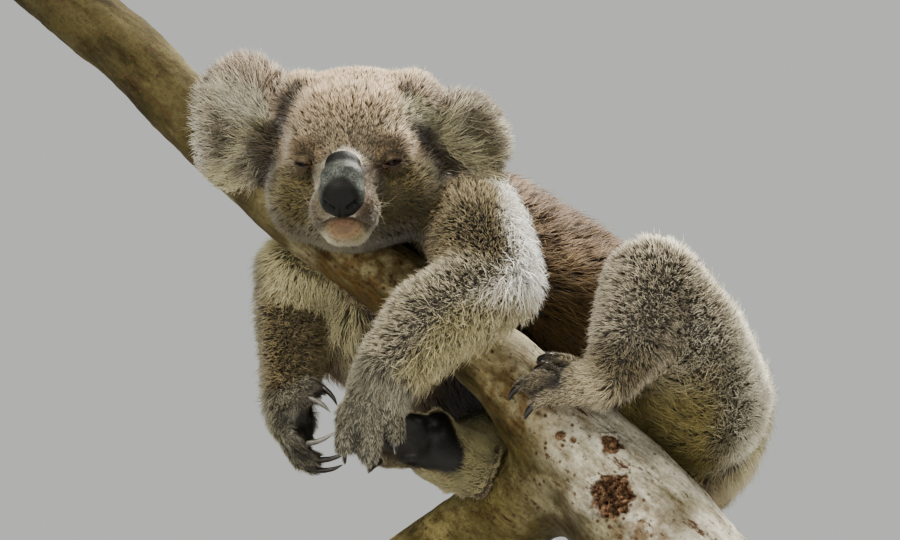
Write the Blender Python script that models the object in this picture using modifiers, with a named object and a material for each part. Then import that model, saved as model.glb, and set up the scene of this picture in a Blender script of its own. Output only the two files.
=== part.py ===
"""A life-size koala that hugs a sloping gum-tree limb, held on a plain display stand.

Units are metres, +Z is up and the origin is the centre of the stand's underside. The koala's head is
towards -X, its rump towards +X, and its face looks along -Y. "left" and "right" are the koala's own sides.
The solids reach to the tips of the coat. Each part of the body is modelled as a lump of clay, made of
ellipsoids and tapered limbs that are fused and smoothed, and is then trimmed by the pieces it rests on.
"""

import math

import bmesh
import bpy
import numpy as np
from mathutils import Euler, Matrix, Vector

GAP = 0.00035  # clearance between pieces that touch
FINE, MEDIUM, COARSE = 0.0026, 0.004, 0.006  # voxel sizes for hands, limbs and trunk

# About how many triangles each lump of clay keeps, before its neighbours trim it.
TRIANGLES = {
    "perch_limb": 360, "nose": 150, "head": 520, "ear": 140, "paw": 250, "arm": 217, "leg": 226,
    "neck": 90, "trunk": 350,
}

# The stand.
BASE_SIZE = Vector((0.46, 0.30, 0.024))
BASE_CORNER = 0.006
ROD_RADIUS = 0.009
ROD_IN_WOOD = 0.030
COLLAR_RADIUS, COLLAR_HEIGHT = 0.022, 0.010

# The perch: (point on the axis, radius), from the thin upper end to the sawn lower end.
LIMB = [
    ((-0.394, 0.012, 0.655), 0.0290),
    ((-0.352, 0.005, 0.619), 0.0290),
    ((-0.302, -0.005, 0.577), 0.0290),
    ((-0.247, -0.015, 0.517), 0.0292),
    ((-0.168, -0.028, 0.443), 0.0290),
    ((-0.112, -0.035, 0.403), 0.0295),
    ((-0.058, -0.040, 0.365), 0.0304),
    ((-0.006, -0.040, 0.320), 0.0325),
    ((0.031, -0.040, 0.279), 0.0405),
    ((0.069, -0.040, 0.236), 0.0500),
    ((0.107, -0.040, 0.190), 0.0560),
    ((0.138, -0.040, 0.148), 0.0585),
]
FORK = [
    ((0.050, -0.030, 0.252), 0.0385),
    ((-0.007, 0.010, 0.213), 0.0385),
    ((-0.087, 0.050, 0.160), 0.0380),
]
SAWN_LEVEL = 0.148  # both lower ends are sawn off level, over the rods
END_SLACK = 0.02  # how far the clay runs past each saw cut
KNOTS = [((0.066, -0.084, 0.226), 0.013), ((0.074, -0.066, 0.271), 0.010)]

# The trunk, from chest to pelvis.
CHEST = Vector((-0.087, 0.033, 0.434))
RIBS = Vector((-0.034, 0.055, 0.405))
WAIST = Vector((0.023, 0.062, 0.369))
LOIN = Vector((0.079, 0.062, 0.330))
PELVIS = Vector((0.126, 0.055, 0.303))
RUMP = Vector((0.128, 0.052, 0.288))
BREAST = Vector((-0.122, 0.042, 0.370))
BELLY = Vector((-0.052, 0.062, 0.358))

# The near arm, over the top of the limb, and the far arm, which hangs behind and below it.
ARM_LEFT = {
    "shoulder": (Vector((-0.043, -0.034, 0.450)), 0.042),
    "mid": (Vector((-0.030, -0.084, 0.417)), 0.041),
    "elbow": (Vector((-0.017, -0.107, 0.381)), 0.038),
    "forearm": (Vector((-0.066, -0.117, 0.349)), 0.038),
    "wrist": (Vector((-0.097, -0.118, 0.311)), 0.030),
    "palm": (Vector((-0.109, -0.113, 0.284)), 0.024),
}
ARM_RIGHT = {
    "shoulder": (Vector((-0.138, 0.020, 0.432)), 0.040),
    "mid": (Vector((-0.177, 0.017, 0.407)), 0.033),
    "elbow": (Vector((-0.178, 0.012, 0.374)), 0.031),
    "forearm": (Vector((-0.175, 0.003, 0.336)), 0.029),
    "wrist": (Vector((-0.177, -0.010, 0.297)), 0.025),
    "palm": (Vector((-0.171, -0.022, 0.279)), 0.020),
}
LEG_LEFT = {
    "hip": (Vector((0.146, -0.005, 0.302)), 0.059),
    "thigh": (Vector((0.134, -0.050, 0.341)), 0.049),
    "knee": (Vector((0.104, -0.078, 0.382)), 0.042),
    "shin": (Vector((0.088, -0.096, 0.342)), 0.036),
    "ankle": (Vector((0.070, -0.096, 0.306)), 0.024),
    "foot": (Vector((0.040, -0.089, 0.303)), 0.018),
}
LEG_RIGHT = {
    "hip": (Vector((0.106, 0.110, 0.306)), 0.056),
    "thigh": (Vector((0.052, 0.132, 0.312)), 0.050),
    "knee": (Vector((0.000, 0.136, 0.322)), 0.043),
    "shin": (Vector((-0.014, 0.070, 0.278)), 0.037),
    "ankle": (Vector((-0.023, -0.008, 0.242)), 0.031),
    "foot": (Vector((-0.061, -0.008, 0.262)), 0.026),
}

# Digits: knuckle, middle joint and tip, radius at knuckle and tip, then the claw's end and its bend.
DIGITS = {
    "hand_left": [
        ((-0.121, -0.098, 0.292), (-0.130, -0.088, 0.286), (-0.134, -0.078, 0.278), 0.0095, 0.0070,
         (-0.135, -0.065, 0.267), (-0.003, 0.001, -0.003)),
        ((-0.120, -0.102, 0.281), (-0.130, -0.095, 0.271), (-0.133, -0.086, 0.262), 0.0095, 0.0070,
         (-0.132, -0.073, 0.251), (-0.003, 0.001, -0.003)),
        ((-0.123, -0.119, 0.285), (-0.129, -0.121, 0.267), (-0.130, -0.114, 0.254), 0.0102, 0.0086,
         (-0.130, -0.102, 0.243), (0.000, -0.001, -0.005)),
        ((-0.108, -0.123, 0.281), (-0.110, -0.126, 0.260), (-0.111, -0.118, 0.247), 0.0108, 0.0095,
         (-0.112, -0.105, 0.236), (0.000, -0.001, -0.005)),
        ((-0.094, -0.118, 0.285), (-0.092, -0.120, 0.273), (-0.091, -0.113, 0.263), 0.0098, 0.0085,
         (-0.092, -0.100, 0.251), (0.000, -0.001, -0.005)),
    ],
    "hand_right": [
        ((-0.176, -0.025, 0.296), (-0.168, -0.037, 0.300), (-0.159, -0.041, 0.298), 0.0090, 0.0068,
         (-0.143, -0.046, 0.288), (0.003, -0.001, 0.003)),
        ((-0.174, -0.018, 0.304), (-0.162, -0.025, 0.313), (-0.151, -0.028, 0.308), 0.0095, 0.0070,
         (-0.138, -0.034, 0.294), (0.004, 0.000, 0.003)),
        ((-0.177, -0.030, 0.279), (-0.174, -0.042, 0.270), (-0.163, -0.046, 0.265), 0.0095, 0.0072,
         (-0.139, -0.047, 0.273), (0.003, 0.000, -0.005)),
        ((-0.176, -0.024, 0.270), (-0.167, -0.034, 0.257), (-0.153, -0.036, 0.253), 0.0098, 0.0074,
         (-0.129, -0.037, 0.259), (0.002, 0.000, -0.005)),
        ((-0.176, -0.010, 0.268), (-0.169, -0.013, 0.253), (-0.156, -0.014, 0.247), 0.0095, 0.0072,
         (-0.134, -0.014, 0.250), (0.002, 0.000, -0.005)),
    ],
    "foot_left": [
        ((0.052, -0.072, 0.317), (0.038, -0.066, 0.325), (0.025, -0.062, 0.328), 0.0088, 0.0072,
         (0.013, -0.063, 0.324), (0.000, -0.002, 0.004)),
        ((0.048, -0.082, 0.313), (0.034, -0.080, 0.320), (0.021, -0.077, 0.319), 0.0088, 0.0072,
         (0.010, -0.075, 0.313), (-0.001, -0.003, 0.004)),
        ((0.035, -0.090, 0.308), (0.019, -0.091, 0.310), (0.004, -0.088, 0.304), 0.0097, 0.0078,
         (-0.006, -0.082, 0.294), (-0.004, -0.004, 0.002)),
        ((0.038, -0.095, 0.298), (0.025, -0.097, 0.295), (0.014, -0.095, 0.289), 0.0092, 0.0074,
         (0.006, -0.090, 0.279), (-0.003, -0.003, 0.001)),
    ],
    "foot_right": [
        ((-0.055, -0.020, 0.281), (-0.060, -0.029, 0.285), (-0.064, -0.036, 0.281), 0.0100, 0.0092,
         None, None),
        ((-0.076, -0.018, 0.283), (-0.093, -0.024, 0.286), (-0.106, -0.031, 0.283), 0.0098, 0.0074,
         (-0.118, -0.042, 0.273), (-0.003, 0.001, 0.003)),
        ((-0.080, -0.016, 0.269), (-0.098, -0.020, 0.269), (-0.111, -0.029, 0.266), 0.0100, 0.0074,
         (-0.122, -0.040, 0.257), (-0.003, 0.001, 0.003)),
        ((-0.076, -0.014, 0.255), (-0.092, -0.018, 0.253), (-0.103, -0.026, 0.251), 0.0098, 0.0074,
         (-0.113, -0.037, 0.243), (-0.003, 0.001, 0.003)),
    ],
}

# The head has its own frame: origin in the skull, -Y out of the face, +X towards the koala's left.
HEAD_PLACE = Matrix.LocRotScale(
    Vector((-0.124, -0.062, 0.502)), Euler((math.radians(8), 0, math.radians(-5)), "XYZ"), None
)
EYE_RADIUS = 0.0080
EYES = {"eye_left": Vector((0.0335, -0.0505, -0.0225)), "eye_right": Vector((-0.0335, -0.0505, -0.0225))}
NOSE_TIP = Vector((0, -0.104, -0.046))
EARS = {
    "ear_left": (Vector((0.083, 0.006, -0.003)), Vector((0.036, 0.018, 0.042)), (0.0, -35.0, 18.0)),
    "ear_right": (Vector((-0.088, 0.006, 0.010)), Vector((0.050, 0.020, 0.057)), (0.0, 8.0, -18.0)),
}

COLOURS = {  # linear base colour, roughness, metallic
    "coat_grey": ((0.20, 0.175, 0.145), 0.95, 0.0),
    "coat_brown": ((0.19, 0.12, 0.075), 0.95, 0.0),
    "nose_leather": ((0.018, 0.019, 0.020), 0.45, 0.0),
    "eye": ((0.020, 0.011, 0.007), 0.08, 0.0),
    "claw_horn": ((0.030, 0.027, 0.026), 0.35, 0.0),
    "bark": ((0.42, 0.37, 0.28), 0.85, 0.0),
    "stand_wood": ((0.035, 0.022, 0.015), 0.40, 0.0),
    "stand_steel": ((0.55, 0.55, 0.55), 0.30, 1.0),
}


def clear_scene():
    for obj in list(bpy.data.objects):
        bpy.data.objects.remove(obj, do_unlink=True)


def new_collection(name, shown):
    made = bpy.data.collections.new(name)
    made.hide_render = not shown
    bpy.context.scene.collection.children.link(made)
    return made


def material(slot):
    made = bpy.data.materials.get(slot)
    if made is None:
        colour, roughness, metallic = COLOURS[slot]
        made = bpy.data.materials.new(slot)
        made.use_nodes = True
        shader = made.node_tree.nodes["Principled BSDF"]
        shader.inputs["Base Color"].default_value = (*colour, 1)
        shader.inputs["Roughness"].default_value = roughness
        shader.inputs["Metallic"].default_value = metallic
    return made


def new_object(name, mesh, collection, slot=None):
    obj = bpy.data.objects.new(name, mesh)
    collection.objects.link(obj)
    if slot:
        mesh.materials.clear()
        mesh.materials.append(material(slot))
    return obj


def mesh_from(bm, name):
    mesh = bpy.data.meshes.new(name)
    bm.to_mesh(mesh)
    bm.free()
    return mesh


def baked(obj):
    """Applies obj's modifiers."""
    graph = bpy.context.evaluated_depsgraph_get()
    mesh = bpy.data.meshes.new_from_object(obj.evaluated_get(graph))
    obj.modifiers.clear()
    obj.data = mesh
    return obj


def add_ball(bm, centre, semi, turn=None, detail=3):
    """An ellipsoid with these semi-axes, turned by a rotation matrix."""
    place = Matrix.Translation(centre) @ (turn or Matrix.Identity(4)) @ Matrix.Diagonal((*semi, 1))
    bmesh.ops.create_icosphere(bm, subdivisions=detail, radius=1, matrix=place)


def add_taper(bm, start, end, start_radius, end_radius):
    """A limb with round ends that tapers from start to end."""
    start, end = Vector(start), Vector(end)
    along = end - start
    add_ball(bm, start, (start_radius,) * 3)
    add_ball(bm, end, (end_radius,) * 3)
    place = Matrix.Translation((start + end) / 2) @ along.to_track_quat("Z", "Y").to_matrix().to_4x4()
    bmesh.ops.create_cone(
        bm, cap_ends=True, segments=24, radius1=start_radius, radius2=end_radius,
        depth=along.length, matrix=place,
    )


def add_chain(bm, links):
    for (start, start_radius), (end, end_radius) in zip(links, links[1:]):
        add_taper(bm, start, end, start_radius, end_radius)


def clay(name, bm, voxel, smoothing, triangles, slot):
    """Fuses the shapes in bm into one smooth closed mesh of about this many triangles."""
    obj = new_object(name, mesh_from(bm, name), KOALA, slot)
    fuse = obj.modifiers.new("fuse", "REMESH")
    fuse.mode, fuse.voxel_size, fuse.use_smooth_shade = "VOXEL", voxel, True
    soften = obj.modifiers.new("soften", "SMOOTH")
    soften.factor, soften.iterations = 0.5, smoothing
    baked(obj)
    reduce = obj.modifiers.new("reduce", "DECIMATE")
    reduce.ratio = min(1.0, triangles / (2 * len(obj.data.polygons)))
    reduce.use_collapse_triangulate = True
    baked(obj)
    obj.data.materials.clear()
    obj.data.materials.append(material(slot))
    return obj


def keep_largest_body(obj):
    """Deletes crumbs that a cut left loose."""
    bm = bmesh.new()
    bm.from_mesh(obj.data)
    bodies, seen = [], set()
    for vert in bm.verts:
        if vert in seen:
            continue
        body, edge = {vert}, [vert]
        while edge:
            for link in edge.pop().link_edges:
                for other in link.verts:
                    if other not in body:
                        body.add(other)
                        edge.append(other)
        seen |= body
        bodies.append(body)
    for body in sorted(bodies, key=len)[:-1]:
        bmesh.ops.delete(bm, geom=list(body), context="VERTS")
    bm.to_mesh(obj.data)
    bm.free()


def corners(obj):
    points = np.array([obj.matrix_world @ v.co for v in obj.data.vertices])
    return points.min(axis=0), points.max(axis=0)


def boxes_meet(a, b):
    (a_low, a_high), (b_low, b_high) = corners(a), corners(b)
    return bool((a_low < b_high).all() and (b_low < a_high).all())


def boolean(obj, operation, other):
    """Joins other to obj, or cuts it from obj."""
    step = obj.modifiers.new("step", "BOOLEAN")
    step.operation, step.solver, step.object = operation, "EXACT", other
    return baked(obj)


def fattened(obj):
    """A hidden copy of obj, a gap's width larger all over, that trims the pieces resting on obj."""
    cutter = new_object(f"cutter_{obj.name}", obj.data.copy(), TOOLS)
    cutter.matrix_world = obj.matrix_world
    cutter.hide_render = True
    cutter.display_type = "WIRE"
    swell = cutter.modifiers.new("swell", "DISPLACE")
    swell.strength, swell.mid_level = GAP, 0
    return boolean(cutter, "UNION", obj)


def trim(obj, cutters):
    """Cuts obj back to a gap from each of the pieces that it rests on."""
    for cutter in cutters:
        if boxes_meet(obj, cutter):
            boolean(obj, "DIFFERENCE", cutter)
    keep_largest_body(obj)


# ---- stand and perch ----


def stand_rods():
    """Two upright rods, one under each sawn end of the forked limb."""
    rods = []
    for number, (point, _) in enumerate((LIMB[-2], FORK[-1]), start=1):
        foot = Vector((point[0], point[1], BASE_SIZE.z + GAP))
        height = SAWN_LEVEL + ROD_IN_WOOD - foot.z
        bm = bmesh.new()
        bmesh.ops.create_cone(
            bm, cap_ends=True, segments=16, radius1=ROD_RADIUS, radius2=ROD_RADIUS, depth=height,
            matrix=Matrix.Translation(foot + Vector((0, 0, height / 2))),
        )
        rods.append(new_object(f"stand_rod_{number}", mesh_from(bm, "rod"), KOALA, "stand_steel"))
    return rods


def stand_collars(rods):
    """A turned collar where each rod meets the base."""
    inner = ROD_RADIUS + GAP
    profile = [
        (inner, COLLAR_HEIGHT), (COLLAR_RADIUS * 0.72, COLLAR_HEIGHT), (COLLAR_RADIUS, COLLAR_HEIGHT * 0.4),
        (COLLAR_RADIUS, 0), (inner, 0),
    ]
    for number, rod in enumerate(rods, start=1):
        low, high = corners(rod)
        bm = bmesh.new()
        verts = [bm.verts.new((r, 0, z)) for r, z in profile]
        for a, b in zip(verts, verts[1:] + verts[:1]):
            bm.edges.new((a, b))
        collar = new_object(f"stand_collar_{number}", mesh_from(bm, "collar"), KOALA, "stand_steel")
        turn = collar.modifiers.new("turn", "SCREW")
        turn.steps = turn.render_steps = 16
        turn.use_merge_vertices, turn.merge_threshold = True, 0.00001
        collar.location = ((low[0] + high[0]) / 2, (low[1] + high[1]) / 2, BASE_SIZE.z + GAP)


def stand_base():
    bm = bmesh.new()
    bmesh.ops.create_cube(
        bm, size=1, matrix=Matrix.Translation((0, 0, BASE_SIZE.z / 2)) @ Matrix.Diagonal((*BASE_SIZE, 1))
    )
    base = new_object("stand_base", mesh_from(bm, "base"), KOALA, "stand_wood")
    ease = base.modifiers.new("ease", "BEVEL")
    ease.width, ease.segments = BASE_CORNER, 2
    ease.limit_method = "ANGLE"


def saw(bm, point, outwards):
    """A flat saw cut that takes off what lies past point."""
    cut = bmesh.ops.bisect_plane(
        bm, geom=bm.verts[:] + bm.edges[:] + bm.faces[:], plane_co=point, plane_no=outwards, clear_outer=True
    )
    rim = [g for g in cut["geom_cut"] if isinstance(g, bmesh.types.BMEdge)]
    bmesh.ops.contextual_create(bm, geom=rim)


def perch_limb(rods):
    """The forked limb, as one piece of wood with three sawn ends and two healed knots."""
    bm = bmesh.new()
    limb, fork = list(LIMB), list(FORK)
    for links in (limb, fork):
        end, before = Vector(links[-1][0]), Vector(links[-2][0])
        links.append((end + (end - before).normalized() * END_SLACK, links[-1][1]))
    limb.insert(0, (Vector(limb[0][0]) * 2 - Vector(limb[1][0]), limb[0][1]))
    add_chain(bm, limb)
    add_chain(bm, fork)
    for centre, radius in KNOTS:
        add_ball(bm, centre, (radius * 1.2, radius * 0.7, radius))
    obj = clay("perch_limb", bm, COARSE, 10, TRIANGLES["perch_limb"], "bark")
    bm = bmesh.new()
    bm.from_mesh(obj.data)
    saw(bm, Vector(LIMB[0][0]), (Vector(LIMB[0][0]) - Vector(LIMB[1][0])).normalized())
    saw(bm, Vector((0, 0, SAWN_LEVEL)), Vector((0, 0, -1)))
    bmesh.ops.triangulate(bm, faces=bm.faces[:])
    bm.to_mesh(obj.data)
    bm.free()
    uncut = fattened(obj)
    trim(obj, [fattened(rod) for rod in rods])
    return uncut


# ---- head ----


def face_point(x, y, z):
    """A point of the head's own frame, in the world."""
    return HEAD_PLACE @ Vector((x, y, z))


def add_face_ball(bm, centre, semi, turn=(0, 0, 0)):
    """An ellipsoid of the head's frame, turned by degrees about its own X, Y and Z."""
    angles = Euler([math.radians(a) for a in turn], "XYZ").to_matrix().to_4x4()
    add_ball(bm, HEAD_PLACE @ Vector(centre), semi, HEAD_PLACE.to_3x3().to_4x4() @ angles)


def eyes():
    for name, centre in EYES.items():
        bm = bmesh.new()
        add_ball(bm, HEAD_PLACE @ centre, (EYE_RADIUS,) * 3, detail=2)
        yield new_object(name, mesh_from(bm, name), KOALA, "eye")


def nose():
    """The large bare nose: a long shield, rounded between the eyes and full over the nostrils."""
    bm = bmesh.new()
    x, y, z = NOSE_TIP
    add_face_ball(bm, (x, y + 0.010, z - 0.001), (0.0178, 0.0125, 0.0160))
    add_face_ball(bm, (x, y + 0.012, z + 0.010), (0.0162, 0.0112, 0.0150), (12, 0, 0))
    add_face_ball(bm, (x, y + 0.019, z + 0.0200), (0.0134, 0.0100, 0.0128), (24, 0, 0))
    return clay("nose", bm, 0.0018, 6, TRIANGLES["nose"], "nose_leather")


def head():
    bm = bmesh.new()
    add_face_ball(bm, (0, 0.012, 0.006), (0.064, 0.060, 0.053))  # skull and its crown of fur
    add_face_ball(bm, (0, -0.022, 0.003), (0.055, 0.038, 0.043))  # forehead
    for side in (-1, 1):
        add_face_ball(bm, (side * 0.042, 0.010, 0.023), (0.030, 0.040, 0.032))  # corner of the crown
        add_face_ball(bm, (side * 0.029, -0.040, -0.008), (0.023, 0.020, 0.019))  # brow
        add_face_ball(bm, (side * 0.038, -0.014, -0.046), (0.033, 0.040, 0.038))  # cheek
        add_face_ball(bm, (side * 0.0145, -0.078, -0.057), (0.0155, 0.021, 0.0170))  # whisker pad
        add_face_ball(bm, (side * 0.046, 0.016, -0.016), (0.024, 0.040, 0.036))  # ear root
    add_face_ball(bm, (0, -0.058, -0.038), (0.025, 0.036, 0.027))  # bridge of the muzzle
    add_face_ball(bm, (0, -0.070, -0.076), (0.0195, 0.022, 0.0125))  # chin and lower lip
    add_face_ball(bm, (0, -0.018, -0.066), (0.046, 0.044, 0.027))  # jaw and throat
    return clay("head", bm, MEDIUM, 8, TRIANGLES["head"], "coat_grey")


def ears():
    """Round furry ears, each a thick saucer with its hollow towards the front."""
    for name, (centre, semi, turn) in EARS.items():
        bm = bmesh.new()
        add_face_ball(bm, centre, semi, turn)
        ear = clay(name, bm, MEDIUM, 4, TRIANGLES["ear"], "coat_grey")
        dish = bmesh.new()
        out = Euler([math.radians(a) for a in turn], "XYZ").to_matrix() @ Vector((0, -semi.y * 1.5, 0))
        add_face_ball(dish, centre + out, (semi.x * 0.72, semi.y * 0.95, semi.z * 0.72), turn)
        scoop = new_object(f"cutter_dish_{name}", mesh_from(dish, "dish"), TOOLS)
        scoop.hide_render, scoop.display_type = True, "WIRE"
        trim(ear, [scoop])
        yield ear


# ---- limbs and trunk ----


def claw(name, tip, end, bend, radius):
    """A curved claw, from inside the digit's tip to its point."""
    tip, end, bend = Vector(tip), Vector(end), Vector(bend)
    root = tip - (end - tip).normalized() * radius * 0.6
    middle = (root + end) / 2 + bend
    steps = 4
    data = bpy.data.curves.new(name, "CURVE")
    data.dimensions, data.bevel_depth, data.bevel_resolution = "3D", 1.0, 0
    data.use_fill_caps = True
    spline = data.splines.new("POLY")
    spline.points.add(steps)
    for i, point in enumerate(spline.points):
        t = i / steps
        place = root * (1 - t) ** 2 + middle * 2 * t * (1 - t) + end * t**2
        point.co = (*place, 1)
        point.radius = 0.0034 * (1 - t) ** 0.6 + 0.0004
    curve = bpy.data.objects.new(name, data)
    TOOLS.objects.link(curve)
    graph = bpy.context.evaluated_depsgraph_get()
    mesh = bpy.data.meshes.new_from_object(curve.evaluated_get(graph))
    bpy.data.objects.remove(curve)
    bm = bmesh.new()
    bm.from_mesh(mesh)
    bmesh.ops.remove_doubles(bm, verts=bm.verts[:], dist=0.00001)
    bmesh.ops.triangulate(bm, faces=bm.faces[:])
    bmesh.ops.recalc_face_normals(bm, faces=bm.faces[:])
    return new_object(name, mesh_from(bm, name), KOALA, "claw_horn")


def claws(paw):
    for number, (_, _, tip, _, radius, end, bend) in enumerate(DIGITS[paw], start=1):
        if end:
            yield claw(f"claw_{paw}_{number}", tip, end, bend, radius)


def add_digits(bm, paw, palm, palm_radius):
    for knuckle, middle, tip, thick, thin, _, _ in DIGITS[paw]:
        add_taper(bm, Vector(palm).lerp(Vector(knuckle), 0.35), knuckle, palm_radius * 0.62, thick)
        add_taper(bm, knuckle, middle, thick, (thick + thin) / 2)
        add_taper(bm, middle, tip, (thick + thin) / 2, thin)


def paw(name, joints, wrist_name, palm_name):
    """A hand or foot: wrist, palm and its digits."""
    (wrist, wrist_radius), (palm, palm_radius) = joints[wrist_name], joints[palm_name]
    bm = bmesh.new()
    start = wrist.lerp(palm, 0.25)
    add_taper(bm, start, palm, wrist_radius * 0.86, palm_radius)
    add_digits(bm, name, palm, palm_radius)
    return clay(name, bm, FINE, 5, TRIANGLES["paw"], "coat_grey")


def part_of(mesh, name, point, outwards):
    """What a flat cut half a gap before point leaves of mesh, as a piece of its own."""
    outwards = outwards.normalized()
    bm = bmesh.new()
    bm.from_mesh(mesh)
    saw(bm, point - outwards * GAP / 2, outwards)
    bmesh.ops.triangulate(bm, faces=bm.faces[:])
    return new_object(name, mesh_from(bm, name), KOALA, "coat_grey")


def parted_limb(upper_name, lower_name, joints, triangles):
    """An arm or leg modelled whole down to the wrist or ankle, and parted by a thin cut at its bend."""
    links = list(joints.values())[:-1]
    (above, _), (bend, _), (below, _) = links[1:4]
    across = (bend - above).normalized() + (below - bend).normalized()
    bm = bmesh.new()
    add_chain(bm, links)
    uncut = clay("uncut_limb", bm, MEDIUM, 8, triangles, "coat_grey")
    whole = fattened(uncut)
    upper = part_of(uncut.data, upper_name, bend, across)
    lower = part_of(uncut.data, lower_name, bend, -across)
    bpy.data.objects.remove(uncut)
    return upper, lower, whole


def neck():
    bm = bmesh.new()
    nape = face_point(0.0, 0.030, -0.030)
    add_taper(bm, nape, CHEST.lerp(nape, 0.45), 0.052, 0.062)
    return clay("neck", bm, MEDIUM, 8, TRIANGLES["neck"], "coat_grey")


def trunk():
    bm = bmesh.new()
    spine = [(CHEST, 0.084), (RIBS, 0.095), (WAIST, 0.096), (LOIN, 0.094), (PELVIS, 0.087)]
    add_chain(bm, spine)
    add_ball(bm, BREAST, (0.058,) * 3)
    add_ball(bm, BELLY, (0.071,) * 3)
    add_ball(bm, RUMP, (0.080,) * 3)
    for joints, joint in ((ARM_LEFT, "shoulder"), (ARM_RIGHT, "shoulder"), (LEG_LEFT, "hip"), (LEG_RIGHT, "hip")):
        point, radius = joints[joint]
        add_ball(bm, point.lerp(CHEST if joint == "shoulder" else PELVIS, 0.35), (radius * 0.95,) * 3)
    return clay("trunk", bm, COARSE, 14, TRIANGLES["trunk"], "coat_brown")


def build():
    rods = stand_rods()
    stand_collars(rods)
    stand_base()
    cutters = [perch_limb(rods)] + [fattened(rod) for rod in rods]

    def settle(piece):
        """Trims piece by all that is in place already, and lets it trim what comes later."""
        cutter = fattened(piece)
        trim(piece, cutters)
        cutters.append(cutter)

    for name in DIGITS:
        for piece in claws(name):
            settle(piece)
    for piece in (*eyes(), nose(), head(), *ears()):
        settle(piece)
    settle(paw("hand_left", ARM_LEFT, "wrist", "palm"))
    settle(paw("hand_right", ARM_RIGHT, "wrist", "palm"))
    settle(paw("foot_left", LEG_LEFT, "ankle", "foot"))
    settle(paw("foot_right", LEG_RIGHT, "ankle", "foot"))
    for upper_name, lower_name, joints, triangles in (
        ("upper_arm_left", "forearm_left", ARM_LEFT, TRIANGLES["arm"]),
        ("upper_arm_right", "forearm_right", ARM_RIGHT, TRIANGLES["arm"]),
        ("thigh_left", "shin_left", LEG_LEFT, TRIANGLES["leg"]),
        ("thigh_right", "shin_right", LEG_RIGHT, TRIANGLES["leg"]),
    ):
        upper, lower, whole = parted_limb(upper_name, lower_name, joints, triangles)
        trim(upper, cutters)
        trim(lower, cutters)
        cutters.append(whole)
    settle(neck())
    settle(trunk())


clear_scene()
KOALA = new_collection("koala_on_perch", shown=True)
TOOLS = new_collection("cutters", shown=False)
build()
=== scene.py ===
"""The looks of a life-size koala on its perch and stand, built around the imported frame.

Metres, +Z up, as in the frame. The koala's head is towards -X, its face looks along -Y, and "left" and
"right" are its own sides. One skin replaces the nodes of flesh and lies inside them by the coat's depth.
The coat is solid mesh: locks of hair that stand on the skin and reach the surface of the CAD solids.
"""

import math
from contextlib import contextmanager

import bmesh
import bpy
import numpy as np
from mathutils import Euler, Matrix, Vector, kdtree, noise
from mathutils.bvhtree import BVHTree


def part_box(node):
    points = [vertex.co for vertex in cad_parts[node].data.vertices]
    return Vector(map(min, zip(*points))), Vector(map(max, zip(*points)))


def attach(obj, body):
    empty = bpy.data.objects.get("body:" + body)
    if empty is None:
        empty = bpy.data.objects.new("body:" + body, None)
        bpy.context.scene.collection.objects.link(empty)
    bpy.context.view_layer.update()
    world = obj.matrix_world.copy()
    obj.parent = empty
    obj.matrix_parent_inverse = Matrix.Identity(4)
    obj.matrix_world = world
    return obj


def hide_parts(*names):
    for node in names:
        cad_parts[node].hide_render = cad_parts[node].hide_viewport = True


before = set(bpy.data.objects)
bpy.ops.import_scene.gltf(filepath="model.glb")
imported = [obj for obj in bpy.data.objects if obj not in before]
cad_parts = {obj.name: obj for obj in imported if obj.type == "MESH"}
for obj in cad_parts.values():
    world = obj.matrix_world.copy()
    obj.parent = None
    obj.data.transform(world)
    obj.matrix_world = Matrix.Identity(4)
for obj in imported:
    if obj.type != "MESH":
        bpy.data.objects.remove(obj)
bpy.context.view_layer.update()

MM = 0.001
rng = np.random.default_rng(7)

SIGNS = {"left": 1, "right": -1}  # which way each side lies along the head's X
LIMBS = {
    f"{limb}_{side}": tuple(f"{part}_{side}" for part in parts)
    for limb, parts in (("arm", ("upper_arm", "forearm", "hand")), ("leg", ("thigh", "shin", "foot")))
    for side in SIGNS
}
FLESH = ("head", "ear_left", "ear_right", "neck", "trunk", *sum(LIMBS.values(), ()))

# Where a limb's hair runs: from each node's middle to the next one's, and from a paw's to one claw's.
PAW_CLAWS = {"hand_left": 4, "hand_right": 4, "foot_left": 3, "foot_right": 3}
PAWS = tuple(PAW_CLAWS)
NEXT = {node: after for nodes in LIMBS.values() for node, after in zip(nodes, nodes[1:])}
NEXT.update({paw: f"claw_{paw}_{claw}" for paw, claw in PAW_CLAWS.items()})

SKIN_VOXEL = 3.0 * MM
BARK_VOXEL = 2.6 * MM
NOSE_VOXEL = 0.8 * MM
SAME_PLACE = 0.01 * MM  # corners nearer to each other than this are one
MOST_TRIANGLES = 190_000  # in one piece of the coat
PATCH = 0.003  # the size of a lock's patch on the OFBake map

# The head's own frame, as in the CAD: -Y out of the face, +X towards the koala's left.
HEAD_TURN = Euler((math.radians(8), 0, math.radians(-5)), "XYZ").to_matrix()
EYE_PLACE = np.array((0.0335, -0.0505, -0.0225))  # the left eye; the right one mirrors it
EYE_RADIUS = 8.0 * MM
NOSE_TIP = np.array((0, -0.104, -0.046))
LIP_HEIGHT = -0.0730
CHIN_HEIGHT = -0.082
MOUTH_ENDS = (0.0245, 0.0200)  # the mouth's line fades between these distances to each side
FRONT_OF_FACE = (-0.062, -0.072)  # the face's front begins between these places along Y

# Boxes in the head's frame, from the lowest corner to the highest.
FACE = ((-0.052, -0.130, -0.095), (0.052, -0.048, 0.004))
LIPS = ((-0.026, -1, -0.0845), (0.026, -0.075, -0.0585))
BED_OF_NOSE = ((-0.028, -1, -0.075), (0.028, -0.060, -0.005))

# Each eye's slit: half its width, and how far it opens up and down, as angles at the eye's centre.
SLITS = {"left": (0.88, 0.20, 0.27), "right": (0.72, 0.04, 0.19)}
SLIT_TILT = math.radians(10)  # the outer corner is the higher one
EYE_SET_BACK = 3.0 * MM  # how far the eyeball lies behind its place in the bare CAD, as the lids need
LID_RADIUS = 8.7 * MM

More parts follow.
